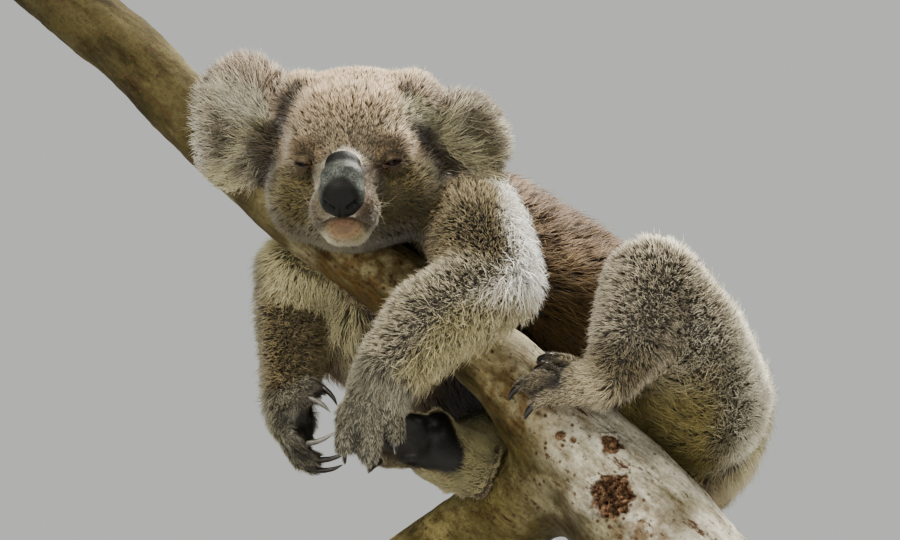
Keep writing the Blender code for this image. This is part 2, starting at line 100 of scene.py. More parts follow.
LIMB_FALL = math.radians(38)  # how steeply the limb falls towards +X
SAW_INSET = 3.5 * MM  # how far inside its ends the limb is cut before its rim is drawn out again
# Two of the far hand's dark claws are painted mid grey towards their tips: painted reflection of the sky.
CLAWS_WITH_PAINTED_REFLECTION = ("claw_hand_right_1", "claw_hand_right_3")

# Knots on the limb, as (centre, radius): a large one, a smaller one above it, and two dots.
KNOTS = (
    ((0.072, -0.090, 0.220), 0.0160),
    ((0.072, -0.083, 0.261), 0.0088),
    ((0.033, -0.080, 0.267), 0.0036),
    ((0.043, -0.083, 0.263), 0.0030),
)
# Warm stains on the limb, as (centre, radius, softness of the edge).
STAINS = (
    ((0.004, -0.076, 0.298), 0.030, 0.8),
    ((0.094, -0.085, 0.190), 0.020, 0.8),
    ((-0.110, -0.050, 0.405), 0.040, 0.7),
)


# ---- regions of the coat ----
# depth: how far the skin lies inside the solids. reach: how far a lock runs along the body for each unit
# of its height. width and spacing: of the locks. clump: how far apart the clumps stand. pull: how much a
# lock leans to its clump. stray: how far it strays from the lie of the coat. pepper: the share of dark
# tips. light and dark: the display colours of tips and roots. A lock's height comes from the solids, and
# only some marks set it.
TRAITS = ("depth", "reach", "width", "spacing", "clump", "pull", "stray", "pepper", "light", "dark")
LENGTHS = ("depth", "width", "spacing", "clump", "height")  # given in millimetres
REGIONS = {
    "head": (6.0, 0.8, 0.95, 1.02, 3.5, 0.35, 0.24, 0.26, (196, 176, 147), (92, 72, 54)),
    "ear": (7.5, 2.3, 1.1, 1.32, 5.5, 0.6, 0.30, 0.30, (206, 197, 174), (58, 49, 38)),
    "neck": (11.0, 1.0, 1.5, 1.65, 6.0, 0.35, 0.3, 0.25, (202, 180, 146), (88, 68, 50)),
    "trunk": (13.0, 0.9, 1.5, 1.56, 8.0, 0.55, 0.42, 0.42, (178, 152, 120), (62, 46, 33)),
    "upper_arm": (9.5, 0.42, 1.25, 1.14, 3.6, 0.5, 0.5, 0.46, (184, 170, 138), (46, 38, 28)),
    "forearm": (8.0, 0.45, 1.15, 1.04, 3.4, 0.5, 0.5, 0.42, (226, 216, 190), (50, 43, 32)),
    "hand": (2.6, 1.7, 0.85, 0.90, 3.4, 0.5, 0.3, 0.54, (222, 216, 190), (22, 19, 14)),
    "thigh": (9.5, 0.40, 1.25, 1.16, 3.8, 0.5, 0.5, 0.32, (248, 240, 222), (84, 76, 63)),
    "shin": (8.5, 0.45, 1.25, 1.16, 3.8, 0.5, 0.5, 0.42, (182, 168, 136), (50, 42, 30)),
    "foot": (2.6, 1.5, 0.85, 0.92, 2.8, 0.3, 0.3, 0.26, (226, 213, 182), (80, 68, 51)),
}

# Marks on the ears and at their roots: the line that each follows, outwards and upwards in the head's frame,
# how far it reaches, the colours of tips and roots, and the share of dark hairs.
EAR_MARKS = {
    "left": (
        # Painted shade in the crease at the ear's root.
        (((0.041, 0.031), (0.047, 0.003)), 0.0060, (72, 60, 44), (30, 25, 18), 0.3),
        (((0.057, 0.036), (0.060, 0.028)), 0.0080, (176, 158, 138), (78, 64, 52), 0.4),
        (((0.047, 0.018), (0.072, -0.002)), 0.0090, (192, 187, 158), (88, 81, 60), 0.15),
        (((0.073, 0.027), (0.097, 0.017)), 0.0070, (150, 138, 118), (50, 42, 33), 0.5),
        (((0.085, 0.004), (0.100, -0.022)), 0.0075, (120, 110, 80), (48, 41, 29), 0.25),
        (((0.049, 0.000), (0.060, -0.012), (0.072, -0.024)), 0.0065, (60, 48, 31), (26, 20, 14), 0.1),
        (((0.064, -0.004), (0.083, -0.019), (0.102, -0.036)), 0.0050, (200, 194, 160), (112, 103, 76), 0.0),
    ),
    "right": (
        (((0.090, 0.047), (0.064, 0.036)), 0.0130, (186, 169, 148), (76, 63, 52), 0.45),
        (((0.088, 0.025), (0.070, 0.014)), 0.0100, (204, 201, 184), (104, 98, 82), 0.15),
        (((0.095, -0.001), (0.091, -0.019)), 0.0115, (88, 78, 53), (38, 32, 22), 0.1),
        # Painted shade in the crease at the ear's root.
        (((0.042, 0.034), (0.057, -0.002)), 0.0060, (66, 53, 38), (28, 23, 16), 0.3),
        (((0.065, -0.003), (0.064, -0.030)), 0.0105, (74, 64, 43), (33, 27, 18), 0.1),
        (((0.070, 0.004), (0.094, -0.022)), 0.0038, (192, 187, 154), (110, 102, 76), 0.0),
        (((0.106, -0.027), (0.087, -0.038)), 0.0100, (204, 198, 162), (118, 108, 80), 0.05),
    ),
}
# The coat's pieces: the nodes that each covers, and the rings of points in one lock.
COAT = {
    "coat_head": (("head",), 1),
    "coat_ears": (("ear_left", "ear_right"), 2),
    "coat_trunk": (("trunk", "neck"), 1),
    **{f"coat_{limb}": (nodes, 1) for limb, nodes in LIMBS.items()},
}


# ---- helpers ----


def linear(red, green, blue):
    """Display values from 0 to 255 as linear light."""
    values = np.array([red, green, blue], float) / 255
    return np.where(values <= 0.04045, values / 12.92, ((values + 0.055) / 1.055) ** 2.4)


def nodes_named(start):
    """The CAD nodes whose names start like this, sorted."""
    return [name for name in sorted(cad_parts) if name.startswith(start)]


def middle(node):
    low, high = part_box(node)
    return (np.array(low) + np.array(high)) / 2


def spot(node, across, deep, high):
    """A point of a CAD node's box, from 0 at its lowest corner to 1 at its highest, along X, Y and Z."""
    low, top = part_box(node)
    return np.array(low) + (np.array(top) - np.array(low)) * (across, deep, high)


def unit(vectors):
    vectors = np.asarray(vectors, float)
    return vectors / np.maximum(np.linalg.norm(vectors, axis=-1, keepdims=True), 1e-9)


def rise(values, low, high):
    """0 on low's side, 1 on high's side, and smooth between them. low may be the larger."""
    t = np.clip((values - low) / (high - low), 0, 1)
    return t * t * (3 - 2 * t)


def band(values, centre, width):
    """1 where values equal centre, falling smoothly to 0 past width on both sides of it."""
    return np.exp(-(((values - centre) / width) ** 2))


def near(points, centre, radius, soft=0.4):
    """1 inside a ball and 0 outside it, with a soft edge."""
    distance = np.linalg.norm(points - np.asarray(centre), axis=1)
    return rise(distance, radius * (1 + soft), radius * (1 - soft))


def inside(points, box):
    low, high = box
    return ((points > low) & (points < high)).all(axis=1)


def stretch_distance(points, start, end, longest=1.0):
    """How far each point is from a straight stretch, which runs on past its end where longest is over 1."""
    along = end - start
    t = np.clip((points - start) @ along / (along @ along), 0, longest)
    return np.linalg.norm(points - start - t[:, None] * along, axis=1)


def along_surface(vectors, normals):
    """The vectors without what stands up from the surface."""
    return vectors - normals * (vectors * normals).sum(axis=1, keepdims=True)


def mix(a, b, share):
    """a where share is 0, b where it is 1. a and b are numbers or colours for each point, or for all."""
    share = np.asarray(share, float)
    if (3,) in (np.shape(a)[-1:], np.shape(b)[-1:]):
        share = share[..., None]
    return a * (1 - share) + b * share


def bumps(points, size, seed=0.0, octaves=2):
    """Smooth noise of about this size, from -1 to 1."""
    shift = Vector((seed, seed * 0.7, -seed))
    return np.array([noise.fractal(Vector(p) / size + shift, 1.0, 2.0, octaves) for p in points])


def read(items, name, width=3, kind=np.float32):
    """A property of each item, as rows of numbers."""
    values = np.empty(len(items) * width, kind)
    items.foreach_get(name, values)
    return values.reshape(-1, width)


def write(items, name, values, kind=np.float32):
    items.foreach_set(name, values.astype(kind).ravel())


def points_of(mesh):
    return read(mesh.vertices, "co").astype(float)


def set_points(mesh, points):
    write(mesh.vertices, "co", points)
    mesh.update()


def normals_of(mesh):
    return read(mesh.vertex_normals, "vector").astype(float)


def edges_of(mesh):
    return read(mesh.edges, "vertices", 2, np.int32)


def relax(values, edges, share, rounds):
    """Moves each value towards the mean of its neighbours', this share of the way, this many times."""
    count = len(values)
    values = values.reshape(count, -1).astype(float)
    links = np.maximum(np.bincount(edges.ravel(), minlength=count), 1)
    share = np.broadcast_to(np.asarray(share, float), (count,))
    for _ in range(rounds):
        for column in range(values.shape[1]):
            value = values[:, column]
            total = np.bincount(edges[:, 0], value[edges[:, 1]], count)
            total += np.bincount(edges[:, 1], value[edges[:, 0]], count)
            values[:, column] = value + share * (total / links - value)
    return values if values.shape[1] > 1 else values[:, 0]


def surface_of(mesh):
    """A tree that finds the nearest point of a mesh."""
    return BVHTree.FromPolygons([v.co[:] for v in mesh.vertices], [p.vertices[:] for p in mesh.polygons])


def new_object(name, mesh):
    obj = bpy.data.objects.new(name, mesh)
    bpy.context.scene.collection.objects.link(obj)
    return obj


def applied(obj):
    graph = bpy.context.evaluated_depsgraph_get()
    mesh = bpy.data.meshes.new_from_object(obj.evaluated_get(graph))
    obj.modifiers.clear()
    obj.data = mesh
    return obj


def add_piece(obj, *replaced, slot, finishes):
    """Enters a finished piece in the frame."""
    obj.data.materials.clear()
    for finish in finishes:
        obj.data.materials.append(finish)
    obj.data.shade_smooth()
    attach(obj, "root")
    if replaced:
        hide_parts(*replaced)


def mesh_of(name, points, triangles):
    mesh = bpy.data.meshes.new(name)
    mesh.vertices.add(len(points))
    write(mesh.vertices, "co", points)
    mesh.loops.add(triangles.size)
    write(mesh.loops, "vertex_index", triangles, np.int32)
    mesh.polygons.add(len(triangles))
    write(mesh.polygons, "loop_start", np.arange(0, triangles.size, 3), np.int32)
    mesh.update(calc_edges=True)
    return mesh


def mesh_from(name, bm):
    """A new mesh with the shapes in bm, which is freed."""
    mesh = bpy.data.meshes.new(name)
    bm.to_mesh(mesh)
    bm.free()
    return mesh


@contextmanager
def editing(mesh):
    """The mesh as a bmesh, which is written back at the end."""
    bm = bmesh.new()
    bm.from_mesh(mesh)
    yield bm
    bm.to_mesh(mesh)
    bm.free()


def set_colour(mesh, colours, name="coat"):
    rgba = np.concatenate([np.clip(colours, 0, 1), np.ones((len(colours), 1))], axis=1)
    write(mesh.color_attributes.new(name, "FLOAT_COLOR", "POINT").data, "color", rgba)


def set_number(mesh, values, name):
    write(mesh.attributes.new(name, "FLOAT", "POINT").data, "value", values)


def joined(name, nodes):
    """One mesh with the surfaces of these CAD nodes."""
    bm = bmesh.new()
    for node in nodes:
        bm.from_mesh(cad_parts[node].data)
    bmesh.ops.remove_doubles(bm, verts=bm.verts[:], dist=SAME_PLACE)
    bmesh.ops.recalc_face_normals(bm, faces=bm.faces[:])
    return mesh_from(name, bm)


def fused(name, nodes, voxel, swell=0.4 * MM):
    """One closed mesh round these CAD nodes, which meet across thin clearances."""
    obj = new_object(name, joined(name, nodes))
    if swell:
        swollen = obj.modifiers.new("swell", "DISPLACE")
        swollen.strength, swollen.mid_level = swell, 0
    fuse = obj.modifiers.new("fuse", "REMESH")
    fuse.mode, fuse.voxel_size = "VOXEL", voxel
    return applied(obj)


def refine(mesh, wanted, cuts):
    """Divides the faces whose middles wanted() picks."""
    with editing(mesh) as bm:
        faces = list(bm.faces)
        picked = wanted(np.array([f.calc_center_median() for f in faces]))
        edges = list({e for f, pick in zip(faces, picked) if pick for e in f.edges})
        bmesh.ops.subdivide_edges(bm, edges=edges, cuts=cuts, use_grid_fill=True)
        bmesh.ops.triangulate(bm, faces=[f for f in bm.faces if len(f.verts) > 4])


# ---- materials ----


class Nodes:
    """A short way to write a material's node tree."""

    def __init__(self, name):
        self.material = bpy.data.materials.new(name)
        self.material.use_nodes = True
        self.tree = self.material.node_tree
        self.shader = self.tree.nodes["Principled BSDF"]

    def add(self, kind, **settings):
        node = self.tree.nodes.new(kind)
        for key, value in settings.items():
            setattr(node, key, value)
        return node

    def link(self, source, target):
        self.tree.links.new(source, target)

    def place(self, scale=(1, 1, 1)):
        """Object coordinates, stretched. "limb" draws them out along the limb."""
        if scale == "limb":
            mapping = self.add("ShaderNodeMapping", vector_type="TEXTURE")
            mapping.inputs["Rotation"].default_value = (0, LIMB_FALL, 0)
            mapping.inputs["Scale"].default_value = (4, 1, 1)
        else:
            mapping = self.add("ShaderNodeMapping")
            mapping.inputs["Scale"].default_value = scale
        self.link(self.add("ShaderNodeTexCoord").outputs["Object"], mapping.inputs["Vector"])
        return mapping.outputs["Vector"]

    def noise(self, scale, detail=3.0, roughness=0.5, stretch=(1, 1, 1)):
        node = self.add("ShaderNodeTexNoise")
        for key, value in (("Scale", scale), ("Detail", detail), ("Roughness", roughness)):
            node.inputs[key].default_value = value
        self.link(self.place(stretch), node.inputs["Vector"])
        return node.outputs["Fac"]

    def cells(self, scale):
        node = self.add("ShaderNodeTexVoronoi")
        node.inputs["Scale"].default_value = scale
        self.link(self.place(), node.inputs["Vector"])
        return node.outputs["Distance"]

    def ramp(self, value, *stops):
        """A colour for each (position, colour) stop."""
        node = self.add("ShaderNodeValToRGB")
        elements = node.color_ramp.elements
        while len(elements) < len(stops):
            elements.new(0.5)
        for element, (position, colour) in zip(elements, stops):
            element.position, element.color = position, (*colour, 1)
        self.link(value, node.inputs["Fac"])
        return node.outputs["Color"]

    def greys(self, value, low, high, first, last):
        """The first grey where value is low, and the last where it is high."""
        return self.ramp(value, (low, grey(first)), (high, grey(last)))

    def blend(self, a, b, share, mode="MIX"):
        node = self.add("ShaderNodeMix", data_type="RGBA", blend_type=mode)
        for value, index in ((share, 0), (a, 6), (b, 7)):
            if isinstance(value, bpy.types.NodeSocket):
                self.link(value, node.inputs[index])
            elif index:
                node.inputs[index].default_value = (*value, 1)
            else:
                node.inputs[index].default_value = value
        return node.outputs[2]

    def times(self, a, b):
        return self.blend(a, b, 1.0, "MULTIPLY")

    def attribute(self, name, output="Color"):
        return self.add("ShaderNodeAttribute", attribute_name=name).outputs[output]

    def bump(self, height, strength, distance):
        node = self.add("ShaderNodeBump")
        node.inputs["Strength"].default_value = strength
        node.inputs["Distance"].default_value = distance
        self.link(height, node.inputs["Height"])
        if self.shader.inputs["Normal"].is_linked:
            self.link(self.shader.inputs["Normal"].links[0].from_socket, node.inputs["Normal"])
        self.link(node.outputs["Normal"], self.shader.inputs["Normal"])

    def colour(self, source):
        self.link(source, self.shader.inputs["Base Color"])

    def set(self, **values):
        for key, value in values.items():
            self.shader.inputs[key.replace("_", " ")].default_value = value
        return self.material


def grey(value):
    return (value, value, value)


def coat_material():
    made = Nodes("coat")
    made.colour(made.times(made.attribute("coat"), made.greys(made.noise(420, 2), 0.3, 0.7, 0.86, 1.12)))
    return made.set(Roughness=0.72, Specular_IOR_Level=0.3, Sheen_Weight=0.2, Sheen_Roughness=0.4)


def skin_material():
    """The coat's colours on hide, with the fine creases that show on pads and lips."""
    made = Nodes("skin")
    made.colour(made.times(made.attribute("coat"), made.greys(made.noise(260, 3), 0.3, 0.7, 0.82, 1.12)))
    made.bump(made.cells(520), 0.35, 0.6 * MM)
    made.bump(made.noise(900, 3), 0.3, 0.4 * MM)
    return made.set(Roughness=0.55, Specular_IOR_Level=0.4)


def nose_material():
    """Black leather, with a pale speckle where the nose's "nose" values say."""
    made = Nodes("nose_leather")
    speckle = made.greys(made.noise(800, 4, 0.7), 0.40, 0.60, 0.12, 1.0)
    pale = made.blend(linear(30, 31, 28), linear(100, 104, 98), speckle)
    made.colour(made.blend(linear(9, 9, 7), pale, made.attribute("nose", "Fac")))
    made.bump(made.cells(950), 0.55, 0.35 * MM)
    made.bump(made.noise(320, 3), 0.25, 0.6 * MM)
    return made.set(Roughness=0.58, Specular_IOR_Level=0.28)


def eye_material():
    made = Nodes("eye")
    fibres = made.ramp(made.noise(1400, 3), (0.35, linear(26, 17, 12)), (0.65, linear(46, 30, 20)))
    made.colour(made.blend(grey(0.004), fibres, made.attribute("iris", "Fac")))
    return made.set(Roughness=0.10, Specular_IOR_Level=0.12)


def claw_material():
    made = Nodes("claw_horn")
    streak = made.noise(420, 3, 0.6)
    made.colour(made.times(made.attribute("horn"), made.greys(streak, 0.3, 0.7, 0.6, 1.4)))
    made.bump(streak, 0.2, 0.3 * MM)
    return made.set(Roughness=0.34, Specular_IOR_Level=0.5)


def bark_material():
    """Smooth gum bark with streaks and flecks, and the crust of its knots."""
    made = Nodes("bark")
    broad = made.greys(made.noise(22, 6, 0.65), 0.30, 0.62, 0.66, 1.06)
    streaks = made.ramp(made.noise(60, 6, 0.7, "limb"), (0.36, linear(166, 158, 140)), (0.56, grey(1.0)))
    fine = made.noise(310, 6, 0.7)
    base = made.times(made.times(made.attribute("bark"), broad), streaks)
    base = made.times(base, made.greys(fine, 0.30, 0.62, 0.66, 1.10))
    specks = made.greys(made.cells(120), 0.10, 0.26, 1, 0)
    where = made.greys(made.noise(34, 4, 0.7), 0.38, 0.50, 0, 1)
    spots = made.greys(made.noise(130, 6, 0.85, "limb"), 0.57, 0.63, 0, 1)
    flecks = made.greys(made.noise(240, 5, 0.8), 0.60, 0.66, 0, 1)
    base = made.blend(base, linear(76, 58, 42), made.blend(grey(0), specks, where))
    base = made.blend(base, linear(74, 54, 38), spots)
    base = made.blend(base, linear(60, 44, 32), flecks)
    shades = ((0.36, linear(22, 16, 12)), (0.49, linear(78, 57, 41)), (0.63, linear(146, 118, 94)))
    crust = made.ramp(made.noise(190, 7, 0.8), *shades)
    made.colour(made.blend(base, crust, made.attribute("rust", "Fac")))
    made.bump(fine, 0.6, 1.2 * MM)
    made.bump(made.noise(90, 6, 0.65, "limb"), 0.55, 2.5 * MM)
    made.bump(spots, 0.4, -1.0 * MM)
    return made.set(Roughness=0.86, Specular_IOR_Level=0.2)


def sawn_material():
    made = Nodes("sawn_wood")
    shades = ((0.40, linear(186, 150, 104)), (0.50, linear(212, 180, 132)), (0.60, linear(176, 138, 94)))
    made.colour(made.ramp(made.noise(60, 2, 0.4, (1, 1, 0.2)), *shades))
    made.bump(made.noise(700, 2, 0.5, (1, 6, 1)), 0.3, 0.5 * MM)
    return made.set(Roughness=0.7)


def stand_wood_material():
    made = Nodes("stand_wood")
    shades = ((0.30, linear(52, 33, 22)), (0.55, linear(84, 56, 38)), (0.8, linear(64, 42, 28)))
    made.colour(made.ramp(made.noise(34, 6, 0.6, (0.35, 4, 4)), *shades))
    made.bump(made.noise(240, 4, 0.6, (0.2, 6, 6)), 0.15, 0.3 * MM)
    return made.set(Roughness=0.38, Coat_Weight=0.25, Coat_Roughness=0.2)


def steel_material():
    made = Nodes("stand_steel")
    made.colour(made.greys(made.noise(300, 3, 0.5, (1, 1, 0.05)), 0.3, 0.7, 0.50, 0.62))
    made.bump(made.noise(900, 2, 0.5, (1, 1, 0.03)), 0.12, 0.1 * MM)
    return made.set(Metallic=1.0, Roughness=0.32)


# ---- the head's frame ----


def head_place():
    between = Vector((middle("eye_left") + middle("eye_right")) / 2)
    offset = Vector((0, EYE_PLACE[1], EYE_PLACE[2]))
    return Matrix.LocRotScale(between - HEAD_TURN @ offset, HEAD_TURN.to_quaternion(), None)


HEAD = head_place()
HEAD_ROWS = np.array(HEAD.to_3x3())


def in_head(points):
    """World points in the head's frame."""
    return (points - np.array(HEAD.translation)) @ HEAD_ROWS


def from_head(points):
    return np.asarray(points, float) @ HEAD_ROWS.T + np.array(HEAD.translation)


def mouth_height(x):
    """The mouth line's height in the head's frame: it clings to the nose and falls to its corners."""
    return -0.0642 - 0.0068 * (np.abs(x) / 0.022) ** 2


def nose_distance(local):
    """How far each point of the head's frame is from the nose's outline, as a share of the nose's size."""
    wide = 0.0187 - 0.0042 * rise(local[:, 2], -0.042, -0.022)
    return np.hypot(local[:, 0] / wide, (local[:, 2] + 0.0397) / 0.0257)


# ---- skin ----


def region_of(node):
    return node.removesuffix("_left").removesuffix("_right")


def node_labels(points):
    """For each point, the index in FLESH of the CAD node whose surface is nearest."""
    owners, verts, faces = [], [], []
    for index, node in enumerate(FLESH):
        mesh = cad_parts[node].data
        faces += [[len(verts) + v for v in p.vertices] for p in mesh.polygons]
        verts += [v.co[:] for v in mesh.vertices]
        owners += [index] * len(mesh.polygons)
    tree = BVHTree.FromPolygons(verts, faces)
    return np.array([owners[tree.find_nearest(Vector(p))[2]] for p in points])


def on(labels, *names):
    """1 where the nearest node is one of these, and 0 elsewhere."""
    return np.isin(labels, [FLESH.index(name) for name in names]).astype(float)


def per_node(labels, trait):
    """A trait of each point's region."""
    values = [REGIONS[region_of(node)][TRAITS.index(trait)] for node in FLESH]
    if trait in ("light", "dark"):
        values = [linear(*colour) for colour in values]
    return np.array(values)[labels]


def in_units(trait, value):
    """A trait's value in metres, where it is a length."""
    return value * MM if trait in LENGTHS else value


def face_share(local):
    """How much a point belongs to the short-haired face, and to the muzzle."""
    face = near(local, (0, -0.075, -0.045), 0.056, 0.55)
    muzzle = near(local, (0, -0.092, -0.058), 0.033, 0.3)
    return face, muzzle


def thickness(mesh, points, normals, most=0.1):
    """How thick the body is under each point."""
    tree = surface_of(mesh)
    found = (tree.ray_cast(Vector(p - n * (0.3 * MM)), Vector(-n), most)[3] for p, n in zip(points, normals))
    return np.array([most if distance is None else distance for distance in found])


def skin_shape(steps=4):
    """The fused flesh, smoothed more where it is broad and moved in by the coat's depth, in steps.
    Also returns the surface that the coat reaches."""
    skin = fused("skin", (*FLESH, "nose", "eye_left", "eye_right"), SKIN_VOXEL)
    mesh = skin.data
    outside = surface_of(mesh)
    points, edges = points_of(mesh), edges_of(mesh)
    labels = node_labels(points)
    head = on(labels, "head")
    share = np.where(on(labels, *PAWS) > 0, 0.08, np.where(head > 0, 0.25, 0.5))
    share = relax(share, edges, 0.5, 5)
    points = relax(points, edges, share, 12)
    set_points(mesh, points)

    face, muzzle = face_share(in_head(points))
    depth = mix(mix(per_node(labels, "depth"), 3.4, face * head), 2.6, muzzle * head) * MM
    depth = relax(np.minimum(depth, 0.27 * thickness(mesh, points, normals_of(mesh))), edges, 0.5, 10)
    for _ in range(steps):
        points = points - normals_of(mesh) * (depth / steps)[:, None]
        points = relax(points, edges, share * 0.5, 2)
        set_points(mesh, points)
    return skin, outside


def on_face(centres):
    return inside(in_head(centres), FACE)


def on_lids_or_lips(centres):
    local = in_head(centres)
    picked = inside(local, LIPS)
    for sign in SIGNS.values():
        picked |= np.linalg.norm(local - EYE_PLACE * (sign, 1, 1), axis=1) < 0.0125
    return picked & (local[:, 1] < -0.046)


def sculpt_face(mesh):
    """Brow, eye sockets, the folds at the mouth and the lower lip. Heights are in millimetres."""
    points, edges = points_of(mesh), edges_of(mesh)
    points = relax(points, edges, np.where(on_face(points), 0.5, 0.0), 6)
    set_points(mesh, points)
    local = in_head(points)
    x, y, z = local.T
    out = np.zeros(len(points))
    for sign in SIGNS.values():
        out += near(local, (sign * 0.030, -0.062, -0.004), 0.016, 0.6) * 1.6
        out -= near(local, (sign * 0.030, -0.058, -0.024), 0.014, 0.6) * 1.2
    front = rise(y, *FRONT_OF_FACE)
    over_mouth = z - mouth_height(x)
    mouth = rise(np.abs(x), *MOUTH_ENDS) * front
    out -= band(over_mouth, 0, 1.3 * MM) * mouth * 3.0
    lip = rise(np.hypot(x / 0.0160, (z - LIP_HEIGHT) / 0.0085), 1.15, 0.5) * front
    out += lip * rise(over_mouth, 0.5 * MM, -1.5 * MM)
    out += band(over_mouth, 4.5 * MM, 3.5 * MM) * rise(np.abs(x), 0.010, 0.016) * mouth * 1.2
    set_points(mesh, points + normals_of(mesh) * (out * MM)[:, None])


def tuck_under_nose(mesh, nose):
    """Moves the skin that the nose covers, and a narrow rim round it, behind the nose's own surface."""
    tree = surface_of(nose)
    local = in_head(points_of(mesh))
    ahead = Vector(HEAD_ROWS @ (0, 1, 0))
    rim, before_face = 0.9 * MM, -0.2
    for index in np.flatnonzero(inside(local, BED_OF_NOSE)):
        x, y, z = local[index]
        fronts = []
        for across, high in ((0, 0), (1, 0), (-1, 0), (0, 1), (0, -1)):
            start = from_head((x + across * rim, before_face, z + high * rim))
            hit = tree.ray_cast(Vector(start), ahead)[0]
            if hit is not None:
                fronts.append(in_head(np.array(hit)[None])[0][1])
        if fronts:
            behind = 3.2 * MM if len(fronts) > 2 else 1.8 * MM
            local[index, 1] = max(y, min(fronts) + behind)
    set_points(mesh, from_head(local))


def digit_lines(paw):
    """(knuckle, end) of each clawed digit of a paw: each runs towards its claw."""
    lines = []
    for node in nodes_named(f"claw_{paw}_"):
        claw = points_of(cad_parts[node].data)
        end = claw[np.argmin(np.linalg.norm(claw - middle(paw), axis=1))]
        lines.append((mix(end, middle(paw), 0.62), end))
    return lines


def between_digits(points, labels):
    """1 in the grooves between the digits of each paw, and 0 elsewhere."""
    groove = np.zeros(len(points))
    for paw in PAWS:
        here = np.flatnonzero(on(labels, paw))
        gaps = [stretch_distance(points[here], start, end, 1.6) for start, end in digit_lines(paw)]
        first, second = np.sort(np.array(gaps), axis=0)[:2]
        groove[here] = band(second - first, 0, 4.0 * MM) * rise(first, 0.018, 0.012)
    return groove


def part_digits(mesh):
    points = points_of(mesh)
    groove = between_digits(points, node_labels(points))
    set_points(mesh, points - normals_of(mesh) * (groove * 3.2 * MM)[:, None])


def eye_axes(side):
    """The eye's centre, and the directions of its gaze, of its slit's outer end and of its upper lid."""
    sign = SIGNS[side]
    gaze = unit((0.30 * sign, -1, -0.06))
    tilted = np.array((sign, 0, math.tan(SLIT_TILT)))
    outer = unit(tilted - gaze * (gaze @ tilted))
    upper = np.cross(gaze, outer)
    upper *= np.sign(upper[2])
    centre = from_head(EYE_PLACE * (sign, 1, 1) + (0, EYE_SET_BACK, 0))
    return centre, *(HEAD_ROWS @ v for v in (gaze, outer, upper))


def slit_distance(points, side):
    """How far outside the eye's slit each point lies, as an angle (negative inside it), and its angle from
    the gaze."""
    centre, gaze, outer, upper = eye_axes(side)
    way = unit(points - centre)
    across, height = np.arctan2(way @ outer, way @ gaze), np.arctan2(way @ upper, way @ gaze)
    half, open_up, open_down = SLITS[side]
    arch = 1 - np.minimum((across / half) ** 2, 1)
    over = np.maximum(height - open_up * arch, -height - open_down * arch)
    past = np.maximum(np.abs(across) - half, 0)
    gap = np.hypot(over, past) * np.sign(np.maximum(over, past - 1e-6))
    return gap, np.arccos(np.clip(way @ gaze, -1, 1))


def shape_lids(mesh):
    """Draws the skin over each eyeball, with a slit that shows it."""
    points = points_of(mesh)
    for side in SLITS:
        centre = eye_axes(side)[0]
        now = np.linalg.norm(points - centre, axis=1)
        gap, angle = slit_distance(points, side)
        radius = LID_RADIUS + 0.5 * MM * band(gap, 0.12, 0.08)
        radius = radius - 0.5 * MM * band(gap, 0.40, 0.10) + 0.3 * MM * rise(gap, 0.35, 0.9)
        radius = mix(6.3 * MM, radius, rise(gap, 0.0, 0.09))
        wanted = mix(now, radius, rise(angle, 1.25, 0.80) * (now < 0.030))
        points = centre + (points - centre) * (wanted / np.maximum(now, 1e-9))[:, None]
    set_points(mesh, points)


def unwrap(obj):
    """A UV map named OFBake, from the skin's own shape."""
    obj.data.uv_layers.new(name="OFBake")
    bpy.context.view_layer.objects.active = obj
    obj.select_set(True)
    bpy.ops.object.mode_set(mode="EDIT")
    bpy.ops.mesh.select_all(action="SELECT")
    bpy.ops.uv.smart_project(angle_limit=math.radians(66), island_margin=0.002)
    bpy.ops.object.mode_set(mode="OBJECT")
    obj.select_set(False)


def make_skin(nose):
    skin, outside = skin_shape()
    part_digits(skin.data)
    refine(skin.data, on_face, 2)
    refine(skin.data, on_lids_or_lips, 1)
    sculpt_face(skin.data)
    shape_lids(skin.data)
    tuck_under_nose(skin.data, nose.data)
    unwrap(skin)
    return skin, outside


# ---- the lie and the colours of the coat ----


def pole_lines(points, start, end):
    """Field lines that leave start and gather at end."""
    away, home = points - start, end - points
    return away / (away**2).sum(axis=1, keepdims=True) + home / (home**2).sum(axis=1, keepdims=True)


def lie_of_coat(points, normals, edges, labels):
    """A unit vector along the skin at each point."""
    lie = np.zeros_like(points)
    for index, node in enumerate(FLESH):
        here = labels == index
        if node in NEXT:
            lie[here] = middle(NEXT[node]) - middle(node)
        elif node in ("trunk", "neck"):
            lie[here] = pole_lines(points[here], middle("head"), spot("trunk", 0.92, 0.5, 0.0))
        elif node == "head":
            lie[here] = pole_lines(points[here], from_head((0, -0.105, -0.050)), from_head((0, 0.075, -0.01)))
        else:
            root = from_head((0.046 * SIGNS[node.removeprefix("ear_")], 0.000, -0.012))
            lie[here] = points[here] - root + np.array((0, -0.004, 0))
    lie = unit(lie)
    for side in SLITS:
        centre = eye_axes(side)[0]
        around = near(points, centre, 0.012, 0.5) * on(labels, "head")
        lie = mix(lie, unit(points - centre), around)
    return unit(along_surface(relax(lie, edges, 0.5, 12), normals))


def paint(field, share, *colours, **traits):
    """Mixes colours of tips and roots, and other traits of the coat, into the field by this share."""
    for trait, colour in zip(("light", "dark"), colours):
        field[trait] = mix(field[trait], linear(*colour), share)
    for trait, value in traits.items():
        field[trait] = mix(field[trait], in_units(trait, value), share)


def brush(field, *nodes):
    """A paint() that reaches only these nodes."""
    here = on(field["labels"], *nodes)
    return lambda share, *colours, **traits: paint(field, here * share, *colours, **traits)


def lay_bare(field, share):
    field["bare"] = np.maximum(field["bare"], share)


